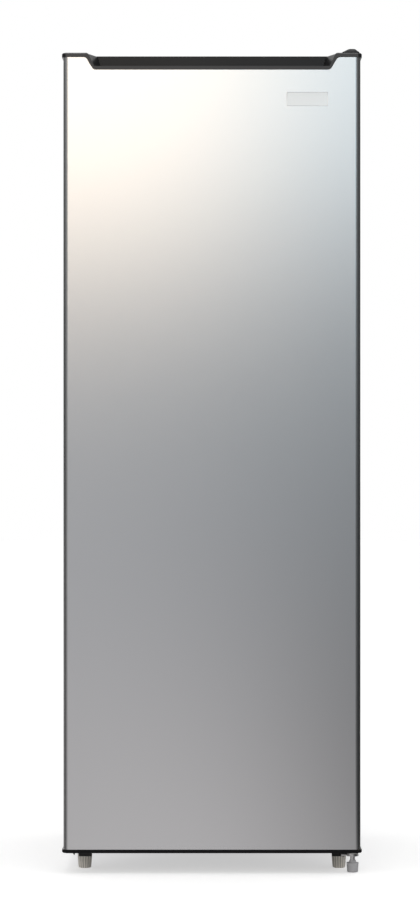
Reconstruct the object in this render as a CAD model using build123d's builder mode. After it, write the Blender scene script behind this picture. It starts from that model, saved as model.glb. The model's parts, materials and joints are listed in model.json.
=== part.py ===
"""Upright freezer, 545 mm wide, with a scooped handle cap across the top of its door.

Millimetres. +X is the viewer's right, +Y runs from the door to the back, +Z is up.
The origin is on the floor, under the middle of the freezer's outline.
"""
from build123d import *
import math
import os

os.makedirs("parts", exist_ok=True)

# ------------------------------------------------------------------ driving sizes
# sheet metal and plastic
sheet = 1.0                      # painted and stainless steel sheet
liner_wall = 2.0                 # white cabinet liner
running_gap = 0.3                # between pieces that move past each other
chords_per_quarter = 3           # how finely the bends of the tubes are drawn
round_sides = 24                 # sides of the larger round pieces that only stand still
small_sides = 12                 # sides of the smaller ones

# door, from its steel panel outwards
panel_width = 545.0
panel_height = 1452.6
panel_bottom_z = 44.0
door_depth = 50.0                # steel panel, front face to return flange
panel_edge_radius = 6.0
return_flange = 12.0
cap_ear = 2.5                    # how far each end cap stands out past the panel's sides
cap_proud = 1.0                  # how far each end cap stands out in front of the panel
top_cap_height = 8.0
bottom_cap_height = 6.6
cap_corner_radius = 7.0
cap_edge_radius = 2.0

# cutout in the panel and the hand scoop behind it
cutout_side_gap = 41.5           # from the panel's side to the cutout's upper corner
cutout_slant = 17.4              # how much nearer the middle its lower corners are
cutout_depth = 22.9
cutout_corner_radius = 8.0
lip_height = 6.4                 # moulded lip along the lower edge of the cutout
lip_depth = 8.0                  # door front to the inside of the scoop
lip_side = 9.0                   # moulded band along the slanted ends of the cutout
scoop_depth_below_lip = 24.0
scoop_end_draft = 9.0            # how much nearer the middle the scoop's ends are at its back
scoop_wall = 2.5
scoop_back_wall = 4.0
scoop_rim_radius = 6.0

# door lining
door_liner_wall = 1.5
dyke_side_gap = 10.5             # from the compartment's side to the rim on the door lining
dyke_width = 14.0
dyke_depth = 30.0
dyke_margin = 9.0                # dyke to the compartment, above and below

# gasket between door and cabinet
gasket_depth = 12.0
gasket_width = 16.0
gasket_inset = 18.0              # from the panel's side to the gasket's outer edge
gasket_end_inset = 14.0          # the same at the panel's top and bottom
gasket_base = 3.0
gasket_lip_step = 3.0

# door racks
rack_count = 4
first_rack_gap = 1.0             # from the dyke's lower rail to the first rack
top_rack_drop = 350.0            # from the dyke's upper rail to the top rack's floor
rack_depth = 92.0
rack_height = 84.0
rack_lean = 5.0
rack_wall = 2.5

# cabinet
base_z = 32.0                    # underside of the cabinet
cabinet_depth = 470.0
cabinet_bend_radius = 5.0
hinge_plate_gap = 0.4            # door cap to the hinge plate over it
pan_sheet = 1.2
back_sheet = 0.8

# freezing compartment
cavity_side_wall = 50.0          # from the cabinet's side to the compartment
cavity_bottom_gap = 14.0         # from the steel opening to the compartment's floor
cavity_top_gap = 15.6            # and to its ceiling
cavity_back_gap = 51.0           # back panel's outside to the compartment
step_depth = 170.0               # step over the machine bay
step_top_z = 283.0
cavity_radius = 12.0

# machine bay under the step
bay_depth = 172.0
bay_top_z = 236.0

# hinges
hinge_side_inset = 13.5          # from the panel's side to the hinge axis
hinge_setback = 24.0             # from the panel's front face to the hinge axis
hinge_plate = 2.5
top_pin_diameter = 8.0
top_pin_depth = 15.0             # below the hinge plate
pin_head_diameter = 12.0
pin_head_height = 1.5
top_bush_wall = 3.0
bush_boss_wall = 3.0
top_plate_nose_radius = 9.5
top_plate_inner_reach = 15.0     # from the hinge axis towards the middle
top_plate_length = 84.0          # over the cabinet
top_screw_offset = 2.0           # its screws: inwards from the hinge axis
top_screw_front = 24.0           # from the plate's front and back edges over the cabinet
top_screw_back = 12.0
cover_inner_reach = 19.5
cover_outer_reach = 12.5
cover_front_reach = 14.0
cover_back_reach = 92.0
cover_skirt = 3.0
cover_height = 9.0
cover_wall = 1.5
cover_corner_cut = 8.0
cover_top_inset_inner = 12.0
cover_top_inset_outer = 8.0
cover_top_inset_ends = 7.0
screw_head_diameter = 9.0
screw_head_height = 2.0
screw_shank_diameter = 5.0
screw_hole_gap = 0.2
plug_head_diameter = 11.0
plug_head_height = 1.6
lower_pin_wall = 2.0
lower_pin_height = 17.0
lower_pin_flange_height = 2.4
lower_pin_flange_width = 3.5
lower_bush_wall = 2.5
lower_bush_depth = 14.6          # above the door's bottom cap face
lower_plate_outer_reach = 11.0
lower_plate_inner_reach = 21.0
lower_leg_gap = 2.0              # from the hinge leg to the gasket
lower_screw_inner = 14.0         # from the hinge axis to the leg's two screws
lower_screw_outer = 4.0

# levelling feet
thread_pitch = 1.25
foot_turns = 8
foot_side_inset = 36.0           # from the cabinet's side to the foot's axis
foot_setback = 18.0              # from the cabinet's front to the foot's axis
cup_height = 25.0
cup_bottom_diameter = 24.0
cup_top_diameter = 27.6
cup_ribs = 16
cup_rib_depth = 0.9
cup_sole = 2.0
cup_sole_step = 1.2
stud_diameter = 8.0
stud_bottom_z = 8.0
stud_top_z = 46.0
stud_hole_gap = 0.4
bracket_sheet = 2.0
bracket_outer_reach = 22.0
bracket_inner_reach = 14.0
bracket_back_reach = 20.0
skirt_front_gap = 1.5
skirt_outer_reach = 10.3
skirt_bottom_z = 22.7
wing_width = 5.5
wing_drop = 6.0
hinge_stud_diameter = 9.0
hinge_cup_bottom_diameter = 19.9
hinge_cup_top_diameter = 22.3
hinge_cup_height = 17.5
hinge_cup_cone_diameter = 14.2
hinge_cup_cone_height = 4.6
hinge_cup_edge = 1.0

# rear rollers
roller_diameter = 28.0
roller_width = 16.0
roller_side_inset = 36.5
roller_back_inset = 32.0
axle_diameter = 6.0
roller_side_gap = 1.0
fork_sheet = 2.0
fork_length = 24.0
axle_head = 2.0

# compressor and its mounting
mount_sheet = 2.0
mount_front_gap = 20.0           # from the machine bay's front wall
mount_back_gap = 7.0             # from the cabinet's back
mount_flange = 18.0
grommet_diameter = 20.0
grommet_height = 14.0
grommet_hole_gap = 0.5
compressor_stud_diameter = 6.0
nut_height = 5.0
nut_diameter = 11.0
feet_sheet = 2.5
feet_length = 176.0
feet_width = 108.0
compressor_side_inset = 160.5    # from the cabinet's right side to the compressor's axis
compressor_radius = 68.0
compressor_wall = 3.0
lower_pot_height = 66.0
upper_pot_height = 82.0
pot_radius = 24.0
seam_flange = 4.0
seam_height = 3.0
motor_radius = 50.0
motor_height = 74.0
motor_neck_radius = 30.0
motor_neck_height = 34.0
relay_length = 62.0
relay_depth = 30.0
relay_height = 56.0

# condenser on the back
condenser_standoff = 34.0
condenser_tube_diameter = 5.0
condenser_wire_diameter = 1.8
condenser_passes = 12
condenser_side_inset = 72.5      # from the cabinet's side to the end of a straight run
condenser_top_gap = 315.0        # from the cabinet's top to the highest pass
condenser_bottom_z = 420.0
condenser_wires_count = 20
condenser_wire_inset = 10.0      # from the end of a straight run to the outermost wire
condenser_wire_overhang = 24.0
spacer_width = 12.0
spacer_height = 16.0

# evaporator shelves
shelf_count = 4
first_shelf_rise = 53.0          # from the step to the lowest shelf
top_shelf_drop = 311.0           # from the ceiling to the highest shelf
shelf_passes = 6
shelf_front_gap = 108.0          # from the cabinet's front to the first pass
shelf_side_gap = 50.5            # from the compartment's side to the end of a straight run
shelf_back_gap = 11.0
shelf_tube_diameter = 8.0
shelf_wire_diameter = 3.0
shelf_wires_count = 18
shelf_wire_inset = 10.5          # from the end of a straight run to the outermost wire
shelf_wire_overhang = 10.0
riser_lead = 12.0                # from the end of a straight run to where a riser joins
riser_reach = 19.0
riser_radius = 14.0
port_gap = 0.4
clip_width = 30.0
clip_ledge = 4.0
clip_rise = 18.0
clip_plate = 3.0
duct_width = 30.0
duct_height = 24.0

# refrigerant lines
line_diameter = 6.0
line_bend_radius = 16.0
capillary_diameter = 3.0
capillary_bend_radius = 6.0
line_side_inset = 16.5           # from the cabinet's side to the lines up its back
drier_side_inset = 56.5
drier_diameter = 16.0
drier_length = 96.0
drier_cone = 10.0
drier_bend_radius = 14.0
compressor_port_z = 128.0
suction_rise = 20.0
line_spacing = 12.0
line_behind_panel = 20.0
capillary_drop = 30.0            # below the drier, before it crosses the back

# thermostat and mains inlet
thermostat_width = 74.0
thermostat_depth = 54.0
thermostat_height = 82.0
thermostat_side_inset = 76.5     # from the cabinet's left side to the middle of the box
thermostat_edge_radius = 4.0
knob_diameter = 34.0
knob_height = 12.0
knob_grip = 6.0
gland_side_inset = 182.5
gland_diameter = 13.0
gland_flange = 3.0
gland_length = 10.0
gland_bore = 7.0

# ------------------------------------------------------------------ derived places
overall_depth = (cap_proud + door_depth + gasket_depth + cabinet_depth + condenser_standoff
                 + drier_diameter / 2)
door_front_y = -overall_depth / 2
panel_front_y = door_front_y + cap_proud
door_back_y = panel_front_y + door_depth
cabinet_front_y = door_back_y + gasket_depth
cabinet_back_y = cabinet_front_y + cabinet_depth
condenser_y = cabinet_back_y + condenser_standoff

panel_half = panel_width / 2
cap_half = panel_half + cap_ear
panel_top_z = panel_bottom_z + panel_height
cap_top_z = panel_top_z + top_cap_height
cap_bottom_z = panel_bottom_z - bottom_cap_height
cutout_bottom_z = panel_top_z - cutout_depth
lip_top_z = cutout_bottom_z + lip_height
scoop_floor_z = lip_top_z - scoop_depth_below_lip
cutout_top_half = panel_half - cutout_side_gap
cutout_bottom_half = cutout_top_half - cutout_slant
cutout_slope = cutout_slant / cutout_depth
scoop_front_y = door_front_y + lip_depth
scoop_back_y = door_back_y - scoop_back_wall

cabinet_half = panel_half                      # cabinet and door share one width
cabinet_top_z = cap_top_z + hinge_plate_gap
gasket_outer_half = panel_half - gasket_inset
gasket_bottom_z = panel_bottom_z + gasket_end_inset
gasket_top_z = panel_top_z - gasket_end_inset
opening_half = gasket_outer_half - gasket_width    # steel front frame, under the gasket
opening_bottom_z = gasket_bottom_z + gasket_width
opening_top_z = gasket_top_z - gasket_width

cavity_half = cabinet_half - cavity_side_wall
cavity_bottom_z = opening_bottom_z + cavity_bottom_gap
cavity_top_z = opening_top_z - cavity_top_gap
cavity_height = cavity_top_z - cavity_bottom_z
cavity_back_y = cabinet_back_y - cavity_back_gap
step_front_y = cavity_back_y - step_depth
bay_front_y = cabinet_back_y - bay_depth

dyke_half = cavity_half - dyke_side_gap
dyke_bottom_z = cavity_bottom_z + dyke_margin
dyke_top_z = cavity_top_z - dyke_margin
rack_half = dyke_half - dyke_width             # the racks clip between the dyke's sides
first_rack_z = dyke_bottom_z + dyke_width + first_rack_gap
rack_pitch = (dyke_top_z - dyke_width - top_rack_drop - first_rack_z) / (rack_count - 1)

hinge_x = panel_half - hinge_side_inset
hinge_y = panel_front_y + hinge_setback

foot_x = cabinet_half - foot_side_inset
foot_y = cabinet_front_y + foot_setback
foot_travel = thread_pitch * foot_turns

roller_x = cabinet_half - roller_side_inset
roller_y = cabinet_back_y - roller_back_inset
roller_z = roller_diameter / 2

mount_front_y = bay_front_y + mount_front_gap
mount_back_y = cabinet_back_y - mount_back_gap
mount_top_z = base_z + mount_sheet
compressor_x = cabinet_half - compressor_side_inset
compressor_y = (mount_front_y + mount_back_y) / 2
feet_z = mount_top_z + grommet_height
compressor_bottom_z = feet_z + feet_sheet
seam_z = compressor_bottom_z + lower_pot_height

shelf_back_y = cavity_back_y - shelf_back_gap
shelf_front_y = cabinet_front_y + shelf_front_gap
shelf_pass_pitch = (shelf_back_y - shelf_front_y) / (shelf_passes - 1)
shelf_half_run = cavity_half - shelf_side_gap
shelf_wire_pitch = 2 * (shelf_half_run - shelf_wire_inset) / (shelf_wires_count - 1)
riser_start = shelf_half_run + riser_lead
first_shelf_z = step_top_z + first_shelf_rise
shelf_pitch = (cavity_top_z - top_shelf_drop - first_shelf_z) / (shelf_count - 1)
shelf_levels = [first_shelf_z + i * shelf_pitch for i in range(shelf_count)]
condenser_half_run = cabinet_half - condenser_side_inset
condenser_top_z = cabinet_top_z - condenser_top_gap
condenser_pitch = (condenser_top_z - condenser_bottom_z) / (condenser_passes - 1)
condenser_wire_pitch = 2 * (condenser_half_run - condenser_wire_inset) / (condenser_wires_count - 1)
discharge_x = cabinet_half - line_side_inset
drier_x = cabinet_half - drier_side_inset
suction_x = line_side_inset - cabinet_half
thermostat_x = thermostat_side_inset - cabinet_half
gland_x = gland_side_inset - cabinet_half
thermostat_back_y = mount_back_y - mount_sheet - thermostat_edge_radius
capillary_x = suction_x + line_spacing


# ------------------------------------------------------------------ shared forms
def facing_front(y):
    """Sketch plane that the viewer faces, at a distance y from the middle."""
    return Plane.XZ.offset(-y)


def cabinet_outline(inset, bottom_z):
    """Front view of the cabinet's wrap, drawn in by inset, with its two upper bends."""
    with BuildSketch(facing_front(cabinet_front_y)) as outline:
        with Locations((0, bottom_z)):
            Rectangle(2 * (cabinet_half - inset), cabinet_top_z - inset - bottom_z,
                      align=(Align.CENTER, Align.MIN))
        fillet(outline.vertices().group_by(Axis.Y)[-1], cabinet_bend_radius - inset)
    return outline.sketch


def compartment_profile(growth):
    """Side view of the freezing compartment with its step, grown by growth on every wall."""
    mouth_y = cabinet_front_y - 3 * cavity_radius    # overlong, then cut back to the front
    beyond = 3 * cavity_height                       # past the profile on every side
    with BuildSketch(Plane.YZ) as profile:
        with BuildLine():
            Polyline((mouth_y, cavity_bottom_z),
                     (step_front_y, cavity_bottom_z), (step_front_y, step_top_z),
                     (cavity_back_y, step_top_z), (cavity_back_y, cavity_top_z),
                     (mouth_y, cavity_top_z), close=True)
        make_face()
        fillet(profile.vertices().filter_by(lambda corner: corner.X > cabinet_front_y), cavity_radius)
        if growth:
            offset(amount=growth, kind=Kind.INTERSECTION)
        with Locations((cabinet_front_y, cavity_bottom_z)):
            Rectangle(beyond, beyond, align=(Align.MAX, Align.CENTER), mode=Mode.SUBTRACT)
    return profile.sketch


def trapezoid_front(y, top_half, bottom_half, top_z, bottom_z):
    """Face seen from the front: a symmetric trapezoid between two levels."""
    with BuildSketch(facing_front(y)) as face:
        with BuildLine():
            Polyline((-top_half, top_z), (-bottom_half, bottom_z),
                     (bottom_half, bottom_z), (top_half, top_z), close=True)
        make_face()
    return face.sketch


def frame_ring(y, outer_half, bottom_z, top_z, width):
    """Rectangular ring seen from the front."""
    with BuildSketch(facing_front(y)) as ring:
        with Locations((0, (bottom_z + top_z) / 2)):
            Rectangle(2 * outer_half, top_z - bottom_z)
            Rectangle(2 * (outer_half - width), top_z - bottom_z - 2 * width, mode=Mode.SUBTRACT)
    return ring.sketch


def round_outline(center, z, diameter, sides):
    """Corners of a level outline that stands for a circle."""
    return [Vector(center[0] + diameter / 2 * math.cos(2 * math.pi * i / sides),
                   center[1] + diameter / 2 * math.sin(2 * math.pi * i / sides), z)
            for i in range(sides)]


def flat_sided(outlines):
    """Solid with flat sides through a stack of level outlines that match corner for corner."""
    faces = [Face(Wire.make_polygon(outlines[0])), Face(Wire.make_polygon(outlines[-1]))]
    for below, above in zip(outlines, outlines[1:]):
        for i in range(len(below)):
            j = (i + 1) % len(below)
            faces.append(Face(Wire.make_polygon([below[i], below[j], above[j], above[i]])))
    return Solid(Shell(faces))


def facet_route(route):
    """Corner points along a route of lines and arcs, with each arc taken as a few short chords."""
    points = [route @ 0]
    for stretch in route.order_edges():
        turn = 0 if stretch.geom_type == GeomType.LINE else stretch.length / stretch.radius
        count = max(1, round(turn / (math.pi / 2) * chords_per_quarter))
        points += [stretch @ (i / count) for i in range(1, count + 1)]
    return points


def tube_along(route, diameter, across):
    """Six-sided tube along a route, two of its flats square to across at the start."""
    points = facet_route(route)
    with BuildPart() as tube:
        with BuildLine():
            Polyline(*points)
        with BuildSketch(Plane(origin=points[0], x_dir=across, z_dir=points[1] - points[0])):
            RegularPolygon(diameter / 2, 6, major_radius=False)
        sweep(transition=Transition.RIGHT)
    return tube.part


def bent_tube(points, radius, diameter):
    """Tube through straight runs that are joined by bends of one radius."""
    with BuildLine() as route:
        FilletPolyline(*points, radius=radius)
    start = Vector(*points[1]) - Vector(*points[0])
    across = Vector(0, 0, 1) if abs(start.Z) < start.length / 2 else Vector(0, 1, 0)
    return tube_along(route.wire(), diameter, across)


def serpentine_tube(passes, start, across, half_run, pitch, first_end, last_end, diameter):
    """Tube that runs to and fro along X, each pass one pitch further along across.

    It starts on the side that first_end names, every bend is a half turn, and two flats of its
    six-sided section face away from the plane of the bends.
    """
    side = math.copysign(1, first_end)
    with BuildLine() as route:
        for i in range(passes):
            level = start + across * (pitch * i)
            entry = first_end if i == 0 else side * half_run
            leave = last_end if i == passes - 1 else -side * half_run
            side = -side
            Line(level + Vector(entry, 0, 0), level + Vector(leave, 0, 0))
            if i < passes - 1:
                turn = level + Vector(leave, 0, 0)
                apex = turn + across * (pitch / 2) + Vector(math.copysign(pitch / 2, leave), 0, 0)
                ThreePointArc(turn, apex, turn + across * pitch)
    return tube_along(route.wire(), diameter, across)


# ------------------------------------------------------------------ cabinet
foot_stations = ((-foot_x, foot_y), (foot_x, foot_y))
stud_hole_radius = stud_diameter / 2 + stud_hole_gap
top_screw_stations = [(hinge_x - top_screw_offset, cabinet_front_y + along)
                      for along in (top_screw_front, top_plate_length - top_screw_back)]
plug_stations = [(-x, y) for x, y in top_screw_stations]
lower_leg_top_z = gasket_bottom_z - lower_leg_gap
lower_screw_stations = [(hinge_x + across, (base_z + lower_leg_top_z) / 2)
                        for across in (-lower_screw_inner, lower_screw_outer)]
screw_hole_radius = screw_shank_diameter / 2 + screw_hole_gap

with BuildPart() as cabinet_shell:
    extrude(cabinet_outline(0, base_z), amount=-cabinet_depth)
    extrude(cabinet_outline(sheet, base_z), amount=-cabinet_depth, mode=Mode.SUBTRACT)
    extrude(cabinet_outline(0, base_z), amount=-sheet)
    with BuildSketch(facing_front(cabinet_front_y)):
        with Locations((0, (opening_bottom_z + opening_top_z) / 2)):
            Rectangle(2 * opening_half, opening_top_z - opening_bottom_z)
    extrude(amount=-sheet, mode=Mode.SUBTRACT)
    with BuildSketch(Plane.XY.offset(cabinet_top_z)):
        with Locations(*top_screw_stations, *plug_stations):
            RegularPolygon(screw_hole_radius, 6)
    extrude(amount=-sheet, mode=Mode.SUBTRACT)
    with BuildSketch(facing_front(cabinet_front_y)):
        with Locations(*lower_screw_stations):
            RegularPolygon(screw_hole_radius, 6)
    extrude(amount=-sheet, mode=Mode.SUBTRACT)

back_panel_y = cabinet_back_y - back_sheet
line_hole_radius = line_diameter / math.sqrt(3) + port_gap
with BuildPart() as cabinet_back_panel:
    extrude(cabinet_outline(sheet, bay_top_z), amount=-cabinet_depth)
    extrude(cabinet_outline(0, base_z), amount=-(cabinet_depth - back_sheet), mode=Mode.SUBTRACT)
    with BuildSketch(facing_front(back_panel_y)):
        with Locations((suction_x, shelf_levels[0]), (capillary_x, shelf_levels[-1])):
            RegularPolygon(line_hole_radius, small_sides)
    extrude(amount=-back_sheet, mode=Mode.SUBTRACT)

# bent steel floor: flat under the compartment, up and over the machine bay
pan_front_y = cabinet_front_y + sheet
pan_back_y = cabinet_back_y - back_sheet
with BuildPart() as base_pan:
    with BuildSketch(Plane.YZ):
        with BuildLine():
            Polyline((pan_front_y, base_z), (bay_front_y, base_z), (bay_front_y, bay_top_z),
                     (pan_back_y, bay_top_z), (pan_back_y, bay_top_z + pan_sheet),
                     (bay_front_y - pan_sheet, bay_top_z + pan_sheet),
                     (bay_front_y - pan_sheet, base_z + pan_sheet),
                     (pan_front_y, base_z + pan_sheet), close=True)
        make_face()
    extrude(amount=cabinet_half - sheet, both=True)
    with BuildSketch(Plane.XY.offset(base_z)):
        with Locations(*foot_stations):
            RegularPolygon(stud_hole_radius, small_sides, major_radius=False)
    extrude(amount=pan_sheet, mode=Mode.SUBTRACT)

with BuildPart() as cabinet_liner:
    extrude(compartment_profile(liner_wall), amount=cavity_half + liner_wall, both=True)
    with BuildSketch(facing_front(cabinet_front_y)):
        with Locations((0, (opening_bottom_z + opening_top_z) / 2)):
            Rectangle(2 * opening_half, opening_top_z - opening_bottom_z)
    extrude(amount=-sheet)
    extrude(compartment_profile(0), amount=cavity_half, both=True, mode=Mode.SUBTRACT)
    with BuildSketch(Plane.YZ.offset(-cavity_half)):
        with Locations((shelf_back_y, shelf_levels[0]), (shelf_back_y, shelf_levels[-1])):
            RegularPolygon(shelf_tube_diameter / math.sqrt(3) + port_gap, small_sides)
    extrude(amount=-liner_wall, mode=Mode.SUBTRACT)

duct_outer_x = suction_x - line_diameter
with BuildPart() as cabinet_foam:
    extrude(cabinet_outline(sheet, base_z + pan_sheet), amount=-(cabinet_depth - back_sheet))
    extrude(cabinet_outline(sheet, base_z + pan_sheet), amount=-sheet, mode=Mode.SUBTRACT)
    with BuildSketch(Plane.YZ):
        with Locations((bay_front_y - pan_sheet, base_z)):
            Rectangle(bay_depth + pan_sheet, bay_top_z + pan_sheet - base_z,
                      align=(Align.MIN, Align.MIN))
    extrude(amount=cabinet_half, both=True, mode=Mode.SUBTRACT)
    extrude(compartment_profile(liner_wall), amount=cavity_half + liner_wall, both=True,
            mode=Mode.SUBTRACT)
    with BuildSketch(Plane.XY.offset(base_z)):
        with Locations(*foot_stations):
            RegularPolygon(stud_hole_radius, small_sides, major_radius=False)
    extrude(amount=stud_top_z + foot_travel / 2 - base_z, mode=Mode.SUBTRACT)
    # ducts for the lines between the evaporator and the back of the cabinet
    for level in (shelf_levels[0], shelf_levels[-1]):
        with BuildSketch(Plane.XY.offset(level - duct_height / 2)):
            with Locations((duct_outer_x, cabinet_back_y)):
                Rectangle(-cavity_half - liner_wall - duct_outer_x,
                          cabinet_back_y - shelf_back_y + duct_width / 2,
                          align=(Align.MIN, Align.MAX))
        extrude(amount=duct_height, mode=Mode.SUBTRACT)

for name, piece in (("cabinet_shell", cabinet_shell), ("cabinet_back_panel", cabinet_back_panel),
                    ("base_pan", base_pan), ("cabinet_liner", cabinet_liner),
                    ("cabinet_foam", cabinet_foam)):
    piece.part.label = name
    export_step(piece.part, f"parts/{name}.step")


# ------------------------------------------------------------------ hinges
top_plate_z = cabinet_top_z + hinge_plate
with BuildPart() as top_hinge_bracket:
    with BuildSketch(Plane.XY.offset(cabinet_top_z)) as plan:
        with Locations((hinge_x, hinge_y)):
            RegularPolygon(top_plate_nose_radius, round_sides)
            Rectangle(2 * top_plate_nose_radius, cabinet_front_y - hinge_y + top_plate_length / 2,
                      align=(Align.CENTER, Align.MIN))
        with Locations((hinge_x + top_plate_nose_radius, cabinet_front_y)):
            Rectangle(top_plate_nose_radius + top_plate_inner_reach, top_plate_length,
                      align=(Align.MAX, Align.MIN))
        with Locations((hinge_x, hinge_y)):
            Circle(top_pin_diameter / 2, mode=Mode.SUBTRACT)
        with Locations(*top_screw_stations):
            RegularPolygon(screw_hole_radius, 6, mode=Mode.SUBTRACT)
    extrude(amount=hinge_plate)

with BuildPart() as top_hinge_pin:
    with BuildSketch(Plane.XY.offset(cabinet_top_z - top_pin_depth)):
        with Locations((hinge_x, hinge_y)):
            Circle(top_pin_diameter / 2)
    extrude(amount=top_pin_depth + hinge_plate)
    with BuildSketch(Plane.XY.offset(top_plate_z)):
        with Locations((hinge_x, hinge_y)):
            RegularPolygon(pin_head_diameter / 2, small_sides)
    extrude(amount=pin_head_height)

with BuildPart() as top_hinge_screws:
    for station in top_screw_stations:
        with BuildSketch(Plane.XY.offset(top_plate_z)):
            with Locations(station):
                RegularPolygon(screw_head_diameter / 2, 6)
        extrude(amount=screw_head_height)
        with BuildSketch(Plane.XY.offset(cabinet_top_z - sheet)):
            with Locations(station):
                RegularPolygon(screw_shank_diameter / 2, 6)
        extrude(amount=sheet + hinge_plate)

with BuildPart() as hinge_hole_plugs:
    for station in plug_stations:
        with BuildSketch(Plane.XY.offset(cabinet_top_z)):
            with Locations(station):
                RegularPolygon(plug_head_diameter / 2, small_sides)
        extrude(amount=plug_head_height)
        with BuildSketch(Plane.XY.offset(cabinet_top_z - sheet)):
            with Locations(station):
                RegularPolygon(screw_shank_diameter / 2, 6)
        extrude(amount=sheet)


def cover_outline(z, inner, outer, front, back, corner):
    """Corners of the hinge cover at a level, by its reach from the hinge axis on each side."""
    left, right = hinge_x - inner, hinge_x + outer
    near, far = hinge_y - front, cabinet_front_y + back
    return [Vector(x, y, z) for x, y in (
        (left + corner, near), (right - corner, near), (right, near + corner), (right, far - corner),
        (right - corner, far), (left + corner, far), (left, far - corner), (left, near + corner))]


def cover_block(shrink):
    """Hinge cover's outer form, or the hollow in it where shrink is its wall."""
    reach = (cover_inner_reach - shrink, cover_outer_reach - shrink,
             cover_front_reach - shrink, cover_back_reach - shrink)
    inset = (cover_top_inset_inner, cover_top_inset_outer, cover_top_inset_ends,
             cover_top_inset_ends)
    corner = cover_corner_cut - shrink
    return flat_sided([
        cover_outline(cabinet_top_z, *reach, corner),
        cover_outline(cabinet_top_z + cover_skirt, *reach, corner),
        cover_outline(cabinet_top_z + cover_height - shrink,
                      *(outer - inner for outer, inner in zip(reach, inset)), corner / 3)])


with BuildPart() as top_hinge_cover:
    add(cover_block(0))
    add(cover_block(cover_wall), mode=Mode.SUBTRACT)

lower_plate_bottom_z = base_z - hinge_plate
hinge_bore_radius = hinge_stud_diameter / 2 + running_gap
with BuildPart() as bottom_hinge_bracket:
    with BuildSketch(Plane.XY.offset(lower_plate_bottom_z)):
        with Locations((hinge_x, hinge_y)):
            RegularPolygon(lower_plate_outer_reach, round_sides)
        with Locations((hinge_x + lower_plate_outer_reach, hinge_y)):
            Rectangle(lower_plate_outer_reach + lower_plate_inner_reach, cabinet_front_y - hinge_y,
                      align=(Align.MAX, Align.MIN))
        with Locations((hinge_x, hinge_y)):
            RegularPolygon(hinge_bore_radius, round_sides, major_radius=False, mode=Mode.SUBTRACT)
    extrude(amount=hinge_plate)
    with BuildSketch(facing_front(cabinet_front_y)):
        with Locations((hinge_x + lower_plate_outer_reach, lower_plate_bottom_z)):
            Rectangle(lower_plate_outer_reach + lower_plate_inner_reach,
                      lower_leg_top_z - lower_plate_bottom_z, align=(Align.MAX, Align.MIN))
        with Locations(*lower_screw_stations):
            RegularPolygon(screw_hole_radius, 6, mode=Mode.SUBTRACT)
    extrude(amount=hinge_plate)

# the lower pin is hollow, and the levelling foot under it screws up inside
lower_pin_radius = hinge_bore_radius + lower_pin_wall
lower_flange_top_z = base_z + lower_pin_flange_height
with BuildPart() as bottom_hinge_pin:
    with BuildSketch(Plane.XY.offset(base_z)):
        with Locations((hinge_x, hinge_y)):
            RegularPolygon(lower_pin_radius + lower_pin_flange_width, round_sides)
            RegularPolygon(hinge_bore_radius, round_sides, major_radius=False, mode=Mode.SUBTRACT)
    extrude(amount=lower_pin_flange_height)
    with BuildSketch(Plane.XY.offset(base_z)):
        with Locations((hinge_x, hinge_y)):
            Circle(lower_pin_radius)
            RegularPolygon(hinge_bore_radius, round_sides, major_radius=False, mode=Mode.SUBTRACT)
    extrude(amount=lower_pin_height)

with BuildPart() as bottom_hinge_screws:
    for station in lower_screw_stations:
        with BuildSketch(facing_front(cabinet_front_y - hinge_plate)):
            with Locations(station):
                RegularPolygon(screw_head_diameter / 2, 6)
        extrude(amount=screw_head_height)
        with BuildSketch(facing_front(cabinet_front_y + sheet)):
            with Locations(station):
                RegularPolygon(screw_shank_diameter / 2, 6)
        extrude(amount=sheet + hinge_plate)

for name, piece in (("top_hinge_bracket", top_hinge_bracket), ("top_hinge_pin", top_hinge_pin),
                    ("top_hinge_screws", top_hinge_screws), ("hinge_hole_plugs", hinge_hole_plugs),
                    ("top_hinge_cover", top_hinge_cover),
                    ("bottom_hinge_bracket", bottom_hinge_bracket),
                    ("bottom_hinge_pin", bottom_hinge_pin),
                    ("bottom_hinge_screws", bottom_hinge_screws)):
    piece.part.label = name
    export_step(piece.part, f"parts/{name}.step")

# ------------------------------------------------------------------ door
# hinge bushes, pressed into the door's end caps
top_bush_radius = top_pin_diameter / 2 + running_gap + top_bush_wall
top_bush_bottom_z = cabinet_top_z - top_pin_depth
lower_bush_radius = lower_pin_radius + running_gap + lower_bush_wall
lower_bush_flange_radius = lower_pin_radius + lower_pin_flange_width

with BuildPart() as top_hinge_bush:
    with BuildSketch(Plane.XY.offset(top_bush_bottom_z)):
        with Locations((hinge_x, hinge_y)):
            RegularPolygon(top_bush_radius, round_sides)
            Circle(top_bush_radius - top_bush_wall, mode=Mode.SUBTRACT)
    extrude(amount=cap_top_z - top_bush_bottom_z)

with BuildPart() as bottom_hinge_bush:
    bush_bottom_z = lower_flange_top_z + running_gap
    with BuildSketch(Plane.XY.offset(bush_bottom_z)):
        with Locations((hinge_x, hinge_y)):
            RegularPolygon(lower_bush_flange_radius, round_sides)
    extrude(amount=cap_bottom_z - bush_bottom_z)
    with BuildSketch(Plane.XY.offset(cap_bottom_z)):
        with Locations((hinge_x, hinge_y)):
            RegularPolygon(lower_bush_radius, round_sides)
    extrude(amount=lower_bush_depth)
    with BuildSketch(Plane.XY.offset(bush_bottom_z)):
        with Locations((hinge_x, hinge_y)):
            Circle(lower_bush_radius - lower_bush_wall)
    extrude(amount=cap_bottom_z + lower_bush_depth - bush_bottom_z, mode=Mode.SUBTRACT)

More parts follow.
